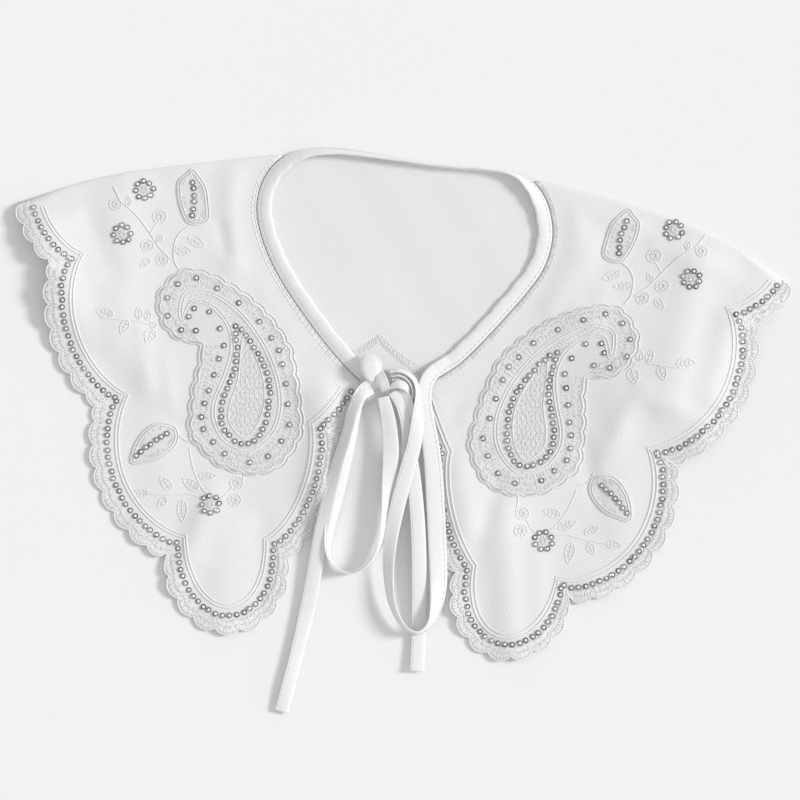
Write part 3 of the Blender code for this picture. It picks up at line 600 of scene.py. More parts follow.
def on_front(lines, lifts):
    """Lines seen from above, shape (n, k, 2), laid on the fronts at the lifts above the cloth."""
    lines = np.asarray(lines, float)
    high = front_height(lines.reshape(-1, 2)).reshape(lines.shape[:-1])
    return np.concatenate((lines, (high + lifts)[..., None]), -1)


def to_side(points, side, shift=None):
    """Points of the left front's design on the front named: mirrored and moved on the right one."""
    points = np.asarray(points, float)
    if side == "left":
        return points
    mirrored = points * (-1.0, 1.0)
    if shift is not None:
        return mirrored + shift
    flat = mirrored.reshape(-1, 2)
    total, weights = np.zeros_like(flat), np.zeros((len(flat), 1))
    for x, y, sx, sy in MIRROR_SHIFTS:
        weight = 1 / (np.sum((flat - (x, y)) ** 2, axis=1, keepdims=True) + 30.0)
        total += weight * (sx, sy)
        weights += weight
    return (flat + total / weights).reshape(points.shape)


# Materials

# How wide the net's columns and how high its rows of holes are.
NET_COLUMN = 1.0
NET_ROW = 0.9


def new_material(name, colour, roughness):
    """A new material, its node tree and its shader."""
    material = bpy.data.materials.new(name)
    material.use_nodes = True
    tree = material.node_tree
    shader = tree.nodes["Principled BSDF"]
    shader.inputs["Base Color"].default_value = (*colour, 1.0)
    shader.inputs["Roughness"].default_value = roughness
    return material, tree, shader


def node(tree, kind, inputs, **settings):
    """A new node with these settings. Each input is a constant, or the socket that feeds it."""
    new = tree.nodes.new(kind)
    for name, value in settings.items():
        setattr(new, name, value)
    for name, value in inputs.items():
        if isinstance(value, bpy.types.NodeSocket):
            tree.links.new(value, new.inputs[name])
        else:
            new.inputs[name].default_value = value
    return new


def place(tree, scale=(1.0, 1.0, 1.0)):
    """Object coordinates, stretched by the scale."""
    where = node(tree, "ShaderNodeTexCoord", {}).outputs["Object"]
    return node(tree, "ShaderNodeMapping", {"Scale": scale, "Vector": where}).outputs["Vector"]


def noise(tree, scale, detail, vector):
    """A cloudy texture."""
    return node(tree, "ShaderNodeTexNoise", {"Scale": scale, "Detail": detail, "Vector": vector})


def bands(tree, scale, distortion, vector):
    """Fine slanted bands, from 0 to 1."""
    inputs = {"Scale": scale, "Distortion": distortion, "Vector": vector}
    wave = node(tree, "ShaderNodeTexWave", inputs, wave_type="BANDS", bands_direction="DIAGONAL")
    return wave.outputs["Fac"]


def tones(tree, factor, low, high, start=0.0, end=1.0):
    """Tones that go from low to high as the factor goes from start to end."""
    ramp = node(tree, "ShaderNodeValToRGB", {"Fac": factor})
    for number, colour, at in ((0, low, start), (1, high, end)):
        ramp.color_ramp.elements[number].color = (*colour, 1.0)
        ramp.color_ramp.elements[number].position = at
    return ramp.outputs["Color"]


def bump(tree, height, distance, strength, shader):
    """Fine relief from a height."""
    inputs = {"Height": height, "Distance": distance, "Strength": strength}
    relief = node(tree, "ShaderNodeBump", inputs)
    tree.links.new(relief.outputs["Normal"], shader.inputs["Normal"])


def net_material(name, low, high, depth):
    """Fine net: offset rows of small holes, low in tone, between the threads, high in tone."""
    material, tree, shader = new_material(name, high, 0.8)
    shader.inputs["Sheen Weight"].default_value = 0.1
    where = place(tree)
    wander = noise(tree, 220.0, 3.0, where).outputs["Color"]
    shifted = node(tree, "ShaderNodeVectorMath", {0: wander, 1: (0.0022, 0.0022, 0.0), 2: where},
                   operation="MULTIPLY_ADD")
    parts = node(tree, "ShaderNodeSeparateXYZ", {"Vector": shifted.outputs["Vector"]})
    waves = []
    for axis, period in (("X", NET_COLUMN), ("Y", NET_ROW)):
        scaled = node(tree, "ShaderNodeMath", {0: parts.outputs[axis], 1: math.pi / (period * MM)},
                      operation="MULTIPLY")
        waves.append(node(tree, "ShaderNodeMath", {0: scaled.outputs[0]}, operation="COSINE").outputs[0])
    holes = node(tree, "ShaderNodeMath", dict(enumerate(waves)), operation="MULTIPLY").outputs[0]
    threads = tones(tree, holes, high, low, 0.1, 0.8)
    cloud = noise(tree, 60.0, 4.0, where).outputs["Fac"]
    tint = tones(tree, cloud, (0.95, 0.95, 0.948), (1.0, 1.0, 1.0))
    blend = node(tree, "ShaderNodeMix", {"Factor": 1.0, 6: threads, 7: tint}, data_type="RGBA",
                 blend_type="MULTIPLY")
    tree.links.new(blend.outputs[2], shader.inputs["Base Color"])
    bump(tree, holes, 0.0001, -depth, shader)
    return material


def thread_material(name, colour, roughness, sheen):
    """Embroidery thread: near white with a soft sheen and a fine twist."""
    material, tree, shader = new_material(name, colour, roughness)
    shader.inputs["Sheen Weight"].default_value = sheen
    shader.inputs["Sheen Roughness"].default_value = 0.35
    twist = bands(tree, 900.0, 2.0, place(tree))
    tint = tones(tree, twist, tuple(c * 0.93 for c in colour), colour)
    tree.links.new(tint, shader.inputs["Base Color"])
    bump(tree, twist, 0.00006, 0.5, shader)
    return material


def satin_material():
    """White satin: smooth, with a fine slanted weave and faint cloudy pressing marks."""
    material, tree, shader = new_material("satin", (0.85, 0.85, 0.845), 0.5)
    shader.inputs["Sheen Weight"].default_value = 0.1
    shader.inputs["Sheen Roughness"].default_value = 0.3
    shader.inputs["Specular IOR Level"].default_value = 0.35
    weave = bands(tree, 1300.0, 1.0, place(tree, (1.0, 1.6, 1.0)))
    cloud = noise(tree, 260.0, 3.0, place(tree)).outputs["Fac"]
    tint = tones(tree, cloud, (0.82, 0.82, 0.816), (0.88, 0.88, 0.876))
    tree.links.new(tint, shader.inputs["Base Color"])
    relief = node(tree, "ShaderNodeMath", {0: weave, 1: 0.25, 2: cloud}, operation="MULTIPLY_ADD")
    bump(tree, relief.outputs[0], 0.0003, 0.35, shader)
    return material


def sequin_material():
    """Clear silvery sequins: their dark tones are painted reflections, and the tones that change from cell
    to cell are painted glints.
    """
    material, tree, shader = new_material("sequin", (0.3, 0.3, 0.3), 0.3)
    shader.inputs["Metallic"].default_value = 0.3
    # Painted glints: each cell of this pattern gives the rings their own painted reflection, from dark to
    # bright.
    painted_glint_cells = node(tree, "ShaderNodeTexVoronoi", {"Scale": 300.0, "Vector": place(tree)})
    tint = tones(tree, painted_glint_cells.outputs["Color"], (0.05, 0.05, 0.05), (0.45, 0.45, 0.45))
    tree.links.new(tint, shader.inputs["Base Color"])
    return material


def floor_material():
    """A plain pale surface with a very faint cloudiness."""
    material, tree, shader = new_material("floor", (0.9, 0.9, 0.9), 0.9)
    shader.inputs["Specular IOR Level"].default_value = 0.1
    cloud = noise(tree, 3.0, 2.0, place(tree)).outputs["Fac"]
    tint = tones(tree, cloud, (0.895, 0.895, 0.898), (0.91, 0.91, 0.91))
    tree.links.new(tint, shader.inputs["Base Color"])
    return material


NET = net_material("net", (0.72, 0.72, 0.718), (0.86, 0.86, 0.857), 0.3)
# A second, darker copy of the net for the motifs' grounds: painted shade that stands for the shadow seen
# through the net there.
NET_PAINTED_SHADE = net_material("net_with_painted_shade", (0.66, 0.66, 0.658), (0.82, 0.82, 0.818), 0.5)
THREAD = thread_material("thread", (0.9, 0.9, 0.896), 0.6, 0.15)
SATIN = satin_material()
SEQUIN = sequin_material()


# Meshes

def add_piece(name, points, faces, material):
    """A smooth mesh in the scene, on the root body, with its material."""
    mesh = bpy.data.meshes.new(name)
    mesh.from_pydata(metres(points).tolist(), [], [list(f) for f in faces])
    mesh.update()
    mesh.materials.append(material)
    mesh.shade_smooth()
    obj = bpy.data.objects.new(name, mesh)
    bpy.context.scene.collection.objects.link(obj)
    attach(obj, "root")
    return obj


def ring_faces(rings, corners, first=0, closed=False, caps=True):
    """Quads between rings of corners that follow each other, and a cap at each open end."""
    ring = np.arange(rings if closed else rings - 1)[:, None]
    corner = np.arange(corners)[None, :]
    after = (corner + 1) % corners
    upper = (ring + 1) % rings
    quads = np.stack((ring * corners + corner, ring * corners + after, upper * corners + after,
                      upper * corners + corner), -1).reshape(-1, 4) + first
    faces = quads.tolist()
    if caps and not closed:
        faces.append([first + k for k in reversed(range(corners))])
        faces.append([first + (rings - 1) * corners + k for k in range(corners)])
    return faces


def stitches(name, batches):
    """Many short threads as one mesh. A batch has lines of shape (n, k, 3), a width and a height."""
    points, faces = [], []
    first = 0
    for lines, width, high in batches:
        lines = np.asarray(lines, float)
        n, k, _ = lines.shape
        run = unit(np.gradient(lines, axis=1))
        across = level_right(run)
        taper = (np.sin(np.pi * (np.arange(k) + 0.6) / (k + 0.2)) ** 0.5)[None, :, None]
        up = np.array((0.0, 0.0, high))
        rings = np.stack((lines + across * width / 2 * taper, lines + up * taper,
                          lines - across * width / 2 * taper, lines - up * 0.4 * taper), 2)
        points.append(rings.reshape(-1, 3))
        one = np.array(ring_faces(k, 4))
        many = one[None] + (np.arange(n) * k * 4)[:, None, None] + first
        faces += many.reshape(-1, 4).tolist()
        first += n * k * 4
    return add_piece(name, np.vstack(points), faces, THREAD)


# Steps to one turn of a cord's twist.
TWIST_STEPS = 4.5


def twisted_cords(name, lines, radius, pitch, corners=6):
    """Two-ply cords along lines of points, each a (points, closed) pair."""
    points, faces = [], []
    first = 0
    for line, closed in lines:
        line = evenly(line, pitch / TWIST_STEPS, closed)
        run = np.gradient(line, axis=0)
        if closed:
            run = np.roll(line, -1, axis=0) - np.roll(line, 1, axis=0)
        run = unit(run)
        across = level_right(run)
        up = np.cross(across, run)
        angle = round_angles(corners)
        turn = 2 * np.pi * np.arange(len(line)) / TWIST_STEPS
        size = radius * (1 + 0.2 * np.cos(2 * angle[None, :] - turn[:, None]))
        way = np.cos(angle)[:, None] * across[:, None] + np.sin(angle)[:, None] * up[:, None]
        rings = line[:, None] + size[..., None] * way
        points.append(rings.reshape(-1, 3))
        faces += ring_faces(len(line), corners, first, closed)
        first += len(line) * corners
    return add_piece(name, np.vstack(points), faces, THREAD)


# A sequin's section, from its hole out to the rim and back: radius, height.
SEQUIN_SECTION = ((0.82, 0.1), (1.1, 0.06), (1.4, 0.3), (1.48, 0.4), (1.3, 0.42), (1.0, 0.2), (0.82, 0.22))
SEQUIN_SIDES = 14
SEQUIN_TILT = 0.12
# The stitch that fills the hole: radius, height.
STITCH_SECTION = ((0.0, 0.46), (0.5, 0.42), (0.84, 0.3), (0.86, 0.1), (0.0, 0.0))


def sequins(name, spots, lifts):
    """Cupped sequins and the small stitch in the middle of each, as two joined meshes."""
    spots = np.asarray(spots, float)
    angle = round_angles(SEQUIN_SIDES)
    shapes = []
    for section, angles in ((SEQUIN_SECTION, angle), (STITCH_SECTION, angle[::2])):
        radius, high = np.array(section).T[..., None]
        high = np.tile(high, len(angles))
        shapes.append(np.stack((radius * np.cos(angles), radius * np.sin(angles), high), -1))
    step = 0.5
    slope_x = (front_height(spots + (step, 0)) - front_height(spots - (step, 0))) / (2 * step)
    slope_y = (front_height(spots + (0, step)) - front_height(spots - (0, step))) / (2 * step)
    slope_x += RANDOM.normal(0, SEQUIN_TILT, len(spots))
    slope_y += RANDOM.normal(0, SEQUIN_TILT, len(spots))
    high = front_height(spots) + lifts
    pieces = []
    for shape, closed, part, material, slot in ((shapes[0], True, name, SEQUIN, "sequin"),
                                                (shapes[1], False, f"{name}_stitches", THREAD, "thread")):
        points, faces = [], []
        for k, (x, y) in enumerate(spots):
            here = shape.reshape(-1, 3).copy()
            here[:, 2] += here[:, 0] * slope_x[k] + here[:, 1] * slope_y[k] + high[k]
            here[:, :2] += (x, y)
            faces += ring_faces(shape.shape[0], shape.shape[1], len(points) * len(here), closed, caps=False)
            points.append(here)
        pieces.append(add_piece(part, np.vstack(points), faces, material))
    return pieces


def sheet_of(name, outline, spacing, height, shell, material, fold_count=0):
    """A thin shell over an outline, at the heights that the function gives."""
    low, high = outline.min(axis=0), outline.max(axis=0)
    rows = []
    for number, y in enumerate(np.arange(low[1], high[1], spacing * math.sqrt(0.75))):
        x = np.arange(low[0] + spacing / 2 * (number % 2), high[0], spacing)
        rows.append(np.stack((x, np.full_like(x, y)), -1))
    inner = np.vstack(rows)
    inner = inner[inside(inner, outline)]
    inner = inner[off_outline(inner, outline) > spacing * 0.55]
    flat = [Vector(p) for p in np.vstack((outline, inner))]
    places, _, triangles, sources, _, _ = delaunay_2d_cdt(flat, [], [list(range(len(outline)))], 1, 1e-4)
    number = {old: new for new, olds in enumerate(sources) for old in olds}
    places = np.array([tuple(p) for p in places])
    points = np.column_stack((places, height(places)))
    faces = []
    for t in triangles:
        a, b, c = places[t[0]], places[t[1]], places[t[2]]
        up = (b[0] - a[0]) * (c[1] - a[1]) - (b[1] - a[1]) * (c[0] - a[0]) > 0
        faces.append(list(t) if up else list(reversed(t)))
    if fold_count:
        line = [number[i] for i in range(fold_count)]
        along = unit(points[line[-2], :2] - points[line[0], :2])
        out = np.array((along[1], -along[0]))
        if out[1] < 0:
            out = -out
        rows = [line]
        for far, share in FOLD_ROLL:
            here = points[line]
            here[:, :2] += out * far
            here[:, 2] *= share
            rows.append(list(range(len(points), len(points) + len(line))))
            points = np.vstack((points, here))
        for upper, lower in zip(rows, rows[1:]):
            for k in range(len(line) - 1):
                quad = [upper[k], upper[k + 1], lower[k + 1], lower[k]]
                a, b, c = points[quad[0]], points[quad[1]], points[quad[2]]
                faces.append(quad if np.cross(b - a, c - a) @ (out[0], out[1], 0.3) > 0 else quad[::-1])
    obj = add_piece(name, points, faces, material)
    wall = obj.modifiers.new("wall", "SOLIDIFY")
    wall.thickness = shell * MM
    wall.offset = -1.0
    return obj


# The folded strip of the binding and the ties: rounder along its fold, thinner along its stitched
# edge, with a groove where the stitching pulls it in.
STRIP_CORNERS = 22
GROOVE_IN = 1.3
GROOVE_WIDE = 0.45
GROOVE_DEEP = 0.4
# Running stitches: length and gap, then width and height on the ties, on the binding and on the net
# beside it, and how far outside the binding's seam those on the net lie.
SEAM_STITCH = 2.1
SEAM_STITCH_GAP = 0.7
TIE_STITCH_SIZE = (0.34, 0.14)
BINDING_STITCH_SIZE = (0.36, 0.16)
NET_STITCH_SIZE = (0.4, 0.2)
NET_STITCH_ROWS = (0.9, 2.3)


def strip_rings(middle, across, up, width, thick, stitched=-1, full=0.0):
    """Rings of a strip's section. stitched is the side of its stitched edge, full how round it is."""
    angle = round_angles(STRIP_CORNERS)
    full = np.reshape(full, (-1, 1))
    w = np.sign(np.cos(angle)) * np.abs(np.cos(angle)) ** (0.6 + 0.3 * full)
    h = np.sign(np.sin(angle)) * np.abs(np.sin(angle)) ** (0.8 + 0.1 * full)
    width = np.reshape(width, (-1, 1))
    thick = np.reshape(thick, (-1, 1))
    offset = w * width / 2
    body = 0.82 - 0.18 * stitched * w
    groove = 1 - GROOVE_DEEP * np.exp(-(((offset - stitched * (width / 2 - GROOVE_IN)) / GROOVE_WIDE) ** 2))
    rise = h * thick / 2 * body * groove
    return middle[:, None] + across[:, None] * offset[..., None] + up[:, None] * rise[..., None]


def strip(name, rows, steps, stitched=-1):
    """A folded strip along its rows: x, y, z, turn, width and, if given, thickness."""
    rows = smooth_rows(rows, steps)
    middle = rows[:, :3]
    run = unit(np.gradient(middle, axis=0))
    level = level_right(run)
    rise = np.cross(level, run)
    turn = np.radians(rows[:, 3])[:, None]
    across = level * np.cos(turn) + rise * np.sin(turn)
    up = rise * np.cos(turn) - level * np.sin(turn)
    width = rows[:, 4]
    thickness = rows[:, 5] if rows.shape[1] > 5 else np.full(len(rows), TIE_THICK)
    soft = np.arange(len(rows)) / steps
    pucker = 1 + 0.07 * np.sin(soft * 5.1 + len(name)) + 0.05 * np.sin(soft * 11.3 + 1.0)
    rings = strip_rings(middle, across, up, width, thickness * pucker, stitched)
    piece = add_piece(name, rings.reshape(-1, 3), ring_faces(len(rows), STRIP_CORNERS), SATIN)
    stitch_side = stitched * (width / 2 - GROOVE_IN)
    edge = middle + across * stitch_side[:, None] + up * (thickness * 0.36)[:, None]
    return piece, middle, edge


def running_stitches(line, length=SEAM_STITCH, gap=SEAM_STITCH_GAP):
    """Short stitches in a row along a line of points in space: lines of four points each."""
    line = evenly(line, length / 3)
    step = round((length + gap) / (length / 3))
    starts = np.arange(0, len(line) - 4, step)
    return np.stack([line[starts + k] for k in range(4)], 1)


# The net panels

def back_height(points):
    """The back lies flat, with faint waves where nothing presses on it."""
    x, y = points[:, 0], points[:, 1]
    waves = 0.25 * np.sin(x / 17.0 + 0.6) * np.sin(y / 21.0) + 0.12 * np.sin(x / 6.5 + y / 9.0)
    under_binding = ease((off_outline(points, BACK_EDGE[::2]) - 1.0) / 12.0)
    return NET_WALL - 0.3 + (0.3 + waves) * under_binding


# Satin-stitched work on a front

# A stitch: its points, the shares of its length at which they lie, and its arch.
STITCH_POINTS = 5
STITCH_SHARES = np.linspace(0.0, 1.0, STITCH_POINTS)
STITCH_ARCH = np.sin(np.pi * STITCH_SHARES)

# Along the hem: how far apart its two cords lie, how far out its row of sequins is, the pitch of
# every close row of sequins, and the shares of its first and last lobes that the cords leave out.
CORD_APART = {"left": 1.7, "right": 2.0}
ROW_OUT = {"left": 5.0, "right": 4.2}
ROW_PITCH = 3.75
FIRST_LEFT_OUT = 0.1
LAST_LEFT_OUT = 0.2
# The overcast edge, two rows of stitches: how far in from the edge they start and stop, and the
# share of the scallops' depth that they follow at each end.
OVERCAST = ((4.9, 2.4, 0.25, 0.55), (2.8, 0.3, 0.55, 1.0))
OVERCAST_PER_STEP = 3
OVERCAST_SIZE = (0.6, 0.1)
# Cords: radius and pitch of the twist.
HEM_CORD = (0.34, 1.5)
RIM_CORD = (0.42, 1.2)
OUTLINE_CORD = (0.3, 1.4)
SPRIG_CORD = (0.28, 1.3)
# The motifs: lift of their grounds, grid and shell of those, the waves of the paisley's outline,
# how far in from each outline its corded lines lie, and where the borders' filling starts and ends.
MOTIF_LIFT = 0.45
GROUND_GRID = 2.2
GROUND_SHELL = 0.4
WAVE_HIGH = 1.3
WAVE_PITCH = 9.0
WAVE_STEPS = 8
PAISLEY_INSETS = (0.0, 1.9)
INNER_INSETS = (0.0, 1.6)
LEAF_INSETS = (0.1, 1.5)
BORDER_IN = 1.6
LEAF_BORDER = 5.0
BAND_REACH = 12.0
# Filling stitches: how far apart their rows are, their length and their gap.
BORDER_FILL = (1.0, 2.6, 0.5)
MIDDLE_FILL = (1.5, 2.2, 0.9)
HEART_FILL = (2.4, 2.2, 0.8)
# A flower's two rings: share of its radius, points.
FLOWER_RINGS = ((0.85, 14), (0.35, 8))
# Stitch sizes, width and height: filling of borders, of the paisley's middle, of its heart, of
# leaflets and flowers, and of the stars in the rings.
BORDER_STITCH = (0.42, 0.16)
MIDDLE_STITCH = (0.36, 0.14)
HEART_STITCH = (0.34, 0.15)
LEAFLET_STITCH = (0.4, 0.14)
STAR_STITCH = (0.6, 0.25)
# The ways of the rows of stitches in the paisley's middle and in its heart, in degrees.
MIDDLE_WAY = {"left": 20.0, "right": 160.0}
HEART_WAYS = (62.0, 96.0, 118.0)


def between(starts, ends):
    """Lines of STITCH_POINTS points from each start to its end, seen from above."""
    starts, ends = np.asarray(starts)[:, None], np.asarray(ends)[:, None]
    return starts + (ends - starts) * STITCH_SHARES[None, :, None]


def leaf_shape(leaf, share):
    """Points on a small leaf's midrib at shares of its length, half its width there, its ways."""
    x, y, way, length, width = leaf
    along, across = directions(way)
    rib = np.array((x, y)) + along * ((share - 0.5) * length)[:, None]
    half = (width / 2 * np.sin(np.pi * share ** 0.8) ** 0.8)[:, None]
    return rib, half, along, across


def leaf_outline(leaf):
    """A small pointed leaf's outline and midrib."""
    rib, half, _, across = leaf_shape(leaf, np.linspace(0.0, 1.0, 9))
    return np.vstack((rib + across * half, (rib - across * half)[-2:0:-1])), rib[:7]


def leaf_lines(leaf):
    """Slanted stitches on both sides of a small leaf's midrib."""
    rib, half, along, across = leaf_shape(leaf, np.arange(0.2, 0.75, 2.0 / leaf[3]))
    lines = []
    for side in (1, -1):
        tip = rib + across * (side * half * 0.8) + along * (half * 0.6)
        lines.append(between(rib + across * side * 0.12, tip))
    return np.vstack(lines)


def star_lines(x, y, radius, rays):
    """A stitched star: short rays from its middle."""
    angle = 2 * np.pi * (np.arange(rays) + 0.5) / rays
    ends = np.stack((x + radius * np.cos(angle), y + radius * np.sin(angle)), -1)
    return between(np.full_like(ends, (x, y)) + (ends - (x, y)) * 0.15, ends)


def ring_spots(x, y, radius, count):
    """Even spots round a circle."""
    angle = round_angles(count) + 0.2
    return np.stack((x + radius * np.cos(angle), y + radius * np.sin(angle)), -1)


def inward(outline, far):
    """The closed outline moved inwards."""
    run = unit(np.roll(outline, -1, axis=0) - np.roll(outline, 1, axis=0))
    left = np.stack((-run[:, 1], run[:, 0]), -1)
    area = np.sum(outline[:, 0] * np.roll(outline[:, 1], -1) - outline[:, 1] * np.roll(outline[:, 0], -1))
    return outline + left * (far if area > 0 else -far)


def wavy(outline, high, pitch):
    """The closed outline drawn as a row of shallow scallops."""
    around = np.linalg.norm(np.roll(outline, -1, axis=0) - outline, axis=1).sum()
    waves = round(around / pitch)
    line = evenly(outline, around / (waves * WAVE_STEPS), closed=True)
    swell = np.abs(np.sin(np.pi * np.arange(len(line)) / WAVE_STEPS)) ** 0.8 - 0.5
    return line - (inward(line, 1.0) - line) * (high * swell)[:, None]


def band_fill(outer, inner, pitch, length, gap):
    """Broken stitches that run from an inner outline out to an outer one."""
    starts = evenly(outer, pitch, closed=True)
    ends = []
    for start in starts:
        ends.append(inner[np.argmin(np.linalg.norm(inner - start, axis=1))])
    reach = np.array(ends) - starts
    far = np.linalg.norm(reach, axis=1)
    way = reach / np.maximum(far, 1e-6)[:, None]
    firsts, lasts = [], []
    for k in range(12):
        near = 0.7 + k * (length + gap) + RANDOM.uniform(-0.9, 0.5, len(starts))
        till = near + length * RANDOM.uniform(0.5, 1.0, len(starts))
        keep = till < np.minimum(far - 0.6, BAND_REACH)
        drift = RANDOM.normal(0, 0.35, (len(starts), 2))
        firsts.append((starts + way * near[:, None])[keep])
        lasts.append((starts + way * till[:, None] + drift)[keep])
    return between(np.vstack(firsts), np.vstack(lasts))


def hatch(outline, way, spacing, length, gap, holes=()):
    """Rows of short stitches at an angle that fill an outline, clear of the holes in it."""
    along, across = directions(way)
    centre = outline.mean(axis=0)
    reach = np.max(np.linalg.norm(outline - centre, axis=1))
    rows = np.arange(-reach, reach, spacing)
    starts = []
    for number, row in enumerate(rows):
        spots = np.arange(-reach, reach, length + gap) + (number % 3) * (length + gap) / 3
        starts.append(centre + across * row + along * spots[:, None])
    starts = np.vstack(starts)
    starts += RANDOM.normal(0, 0.12, starts.shape)
    ends = starts + along * length
    keep = inside(starts, outline) & inside(ends, outline)
    for hole in holes:
        keep &= ~inside(starts, hole) & ~inside(ends, hole)
    return between(starts[keep], ends[keep])


def hem_work(side):
    """The corded double line, the row of sequins and the overcast scallops along a front's hem."""
    hem = HEMS[side]
    start = round(len(hem.steps[0]) * FIRST_LEFT_OUT)
    part_way = slice(start, -round(len(hem.steps[-1]) * LAST_LEFT_OUT))
    lines = []
    for far in (-CORD_APART[side] / 2, CORD_APART[side] / 2):
        lines.append((laid(evenly(hem.line(far)[part_way], 1.0), 0.2), False))
    cords = twisted_cords(f"corded_line_{side}", lines, *HEM_CORD)
    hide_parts(f"hem_cord_{side}")
    batches = []
    for near, far, first, last in OVERCAST:
        inner = hem.line(hem.band - near, SCALLOP_DEPTH * first, finer=OVERCAST_PER_STEP)
        outer = hem.line(hem.band - far, SCALLOP_DEPTH * last, finer=OVERCAST_PER_STEP)
        reach = outer - inner
        inner = inner + reach * RANDOM.uniform(-0.2, 0.2, (len(inner), 1))
        inner += RANDOM.normal(0, 0.16, inner.shape)
        outer = outer + reach * RANDOM.uniform(-0.15, 0.0, (len(outer), 1))
        outer += RANDOM.normal(0, 0.16, outer.shape)
        batches.append((on_front(between(inner, outer), 0.02 + 0.1 * STITCH_ARCH), *OVERCAST_SIZE))
    edge = stitches(f"scallops_{side}", batches)
    rim_line = laid(hem.line(hem.band - 0.1, SCALLOP_DEPTH), -0.05)
    rim = twisted_cords(f"scallop_rim_{side}", [(rim_line, False)], *RIM_CORD)
    row = evenly(hem.line(ROW_OUT[side])[4:-6], ROW_PITCH)
    return [cords, edge, rim], row


def motif_line(rows, name, side):
    """A motif's smooth closed line, or one inside it, on the front named."""
    return to_side(smooth_rows(rows, 8, closed=True), side, MOTIFS[name][1])


def motif_outlines(side):
    """The outlines of the paisley and of the two leaves on a front."""
    return [motif_line(rows, name, side) for name, (rows, _) in MOTIFS.items()]


def motif_grounds(side):
    """The motifs' raised grounds, which stand for the solids, in the darker net with painted shade."""
    grounds = []
    for name, outline in zip(MOTIFS, motif_outlines(side)):
        ground = sheet_of(f"{name}_ground_{side}", outline, GROUND_GRID,
                          lambda p: front_height(p) + MOTIF_LIFT, GROUND_SHELL, NET_PAINTED_SHADE)
        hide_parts(f"{name}_{side}")
        grounds.append(ground)
    return grounds


def corded_outlines(side):
    """Corded outlines, double and scalloped round the paisley, and the first stems."""
    paisley, upper_leaf, lower_leaf = motif_outlines(side)
    inner, heart = (motif_line(rows, "paisley", side) for rows in (PAISLEY_INNER, PAISLEY_HEART))
    lines = []
    for outline, insets in ((wavy(paisley, WAVE_HIGH, WAVE_PITCH), PAISLEY_INSETS), (inner, INNER_INSETS),
                            (heart, (0.0,)), (upper_leaf, LEAF_INSETS), (lower_leaf, LEAF_INSETS)):
        for inset in insets:
            closed = evenly(inward(outline, inset), 1.0, closed=True)
            lines.append((laid(closed, MOTIF_LIFT + 0.15), True))
    for stem in STEMS[:CORDED_STEMS]:
        lines.append((laid(to_side(smooth_rows(stem, 8), side), 0.2), False))
    return twisted_cords(f"outlines_{side}", lines, *OUTLINE_CORD)


def sprigs(side):
    """Sprigs, sewn in thin outline on the net."""
    lines = [(smooth_rows(stem, 6), False) for stem in STEMS[CORDED_STEMS:]]
    for leaf in LEAFLETS:
        outline, rib = leaf_outline(leaf)
        lines += [(outline, True), (rib, False)]
    for x, y, radius in FLOWERS:
        lines += [(ring_spots(x, y, radius * share, count), True) for share, count in FLOWER_RINGS]
    lines = [(laid(to_side(line, side), 0.1), closed) for line, closed in lines]
    return twisted_cords(f"sprigs_{side}", lines, *SPRIG_CORD, corners=5)


def fillings(side):
    """The filling stitches of the motifs, leaflets and flowers, and the stars in the rings."""
    flat = MOTIF_LIFT + 0.05 + 0.15 * STITCH_ARCH
    raised = 0.1 + 0.2 * STITCH_ARCH
    paisley, *leaves = motif_outlines(side)
    inner, heart = (motif_line(rows, "paisley", side) for rows in (PAISLEY_INNER, PAISLEY_HEART))
    batches = []
    borders = [(paisley, inner)] + [(leaf, inward(leaf, LEAF_BORDER)) for leaf in leaves]
    for outer, edge in borders:
        lines = band_fill(inward(outer, BORDER_IN), edge, *BORDER_FILL)
        batches.append((on_front(lines, flat), *BORDER_STITCH))
    lines = hatch(inner, MIDDLE_WAY[side], *MIDDLE_FILL, (heart,))
    batches.append((on_front(lines, flat), *MIDDLE_STITCH))
    for way in HEART_WAYS:
        batches.append((on_front(hatch(heart, way, *HEART_FILL), flat), *HEART_STITCH))
    small = [leaf_lines(leaf) for leaf in LEAFLETS]
    small += [star_lines(x, y, radius * 0.8, 9) for x, y, radius in FLOWERS]
    for lines in small:
        batches.append((on_front(to_side(lines, side), raised), *LEAFLET_STITCH))
    for x, y, radius, count in RINGS:
        star = to_side(star_lines(x, y, radius * 0.55, 10), side)
        batches.append((on_front(star, raised), *STAR_STITCH))
    return stitches(f"satin_stitches_{side}", batches)


def front_sequins(side, row):
    """A front's sequins: the row along the hem and the rings on the net, then those on the motifs."""
    shift = MOTIFS["paisley"][1]
    on_net = [row] + [to_side(ring_spots(x, y, radius, count), side) for x, y, radius, count in RINGS]
    heart_ring = evenly(smooth_rows(HEART_SEQUINS, 6, closed=True), ROW_PITCH, closed=True)
    on_work = [to_side(heart_ring, side, shift), to_side(BORDER_SEQUINS, side, shift)]
    for (a, b, c, count), name in zip(LEAF_SEQUINS, ("upper_leaf", "lower_leaf")):
        line = smooth_rows((a, b, c), 8)
        step = distances(line)[-1] / (count - 1)
        on_work.append(to_side(evenly(line, step), side, MOTIFS[name][1]))
    on_net, on_work = np.vstack(on_net), np.vstack(on_work)
    lifts = np.concatenate((np.full(len(on_net), 0.2), np.full(len(on_work), MOTIF_LIFT + 0.2)))
    spots = np.vstack((on_net, on_work))
    spots = spots + RANDOM.normal(0, 0.16, spots.shape)
    return sequins(f"sequins_{side}", spots, lifts)


def fronts():
    """The two fronts with their embroidery."""
    for side in ("left", "right"):
        outline, fold_count = front_outline(side)
        panel = sheet_of(f"net_front_{side}", outline, GRID, front_height, NET_SHELL, NET,
                         fold_count)
        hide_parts(f"front_{side}_panel")
        work, row = hem_work(side)
        work += motif_grounds(side)
        work += [corded_outlines(side), sprigs(side), fillings(side)]
        work += front_sequins(side, row)


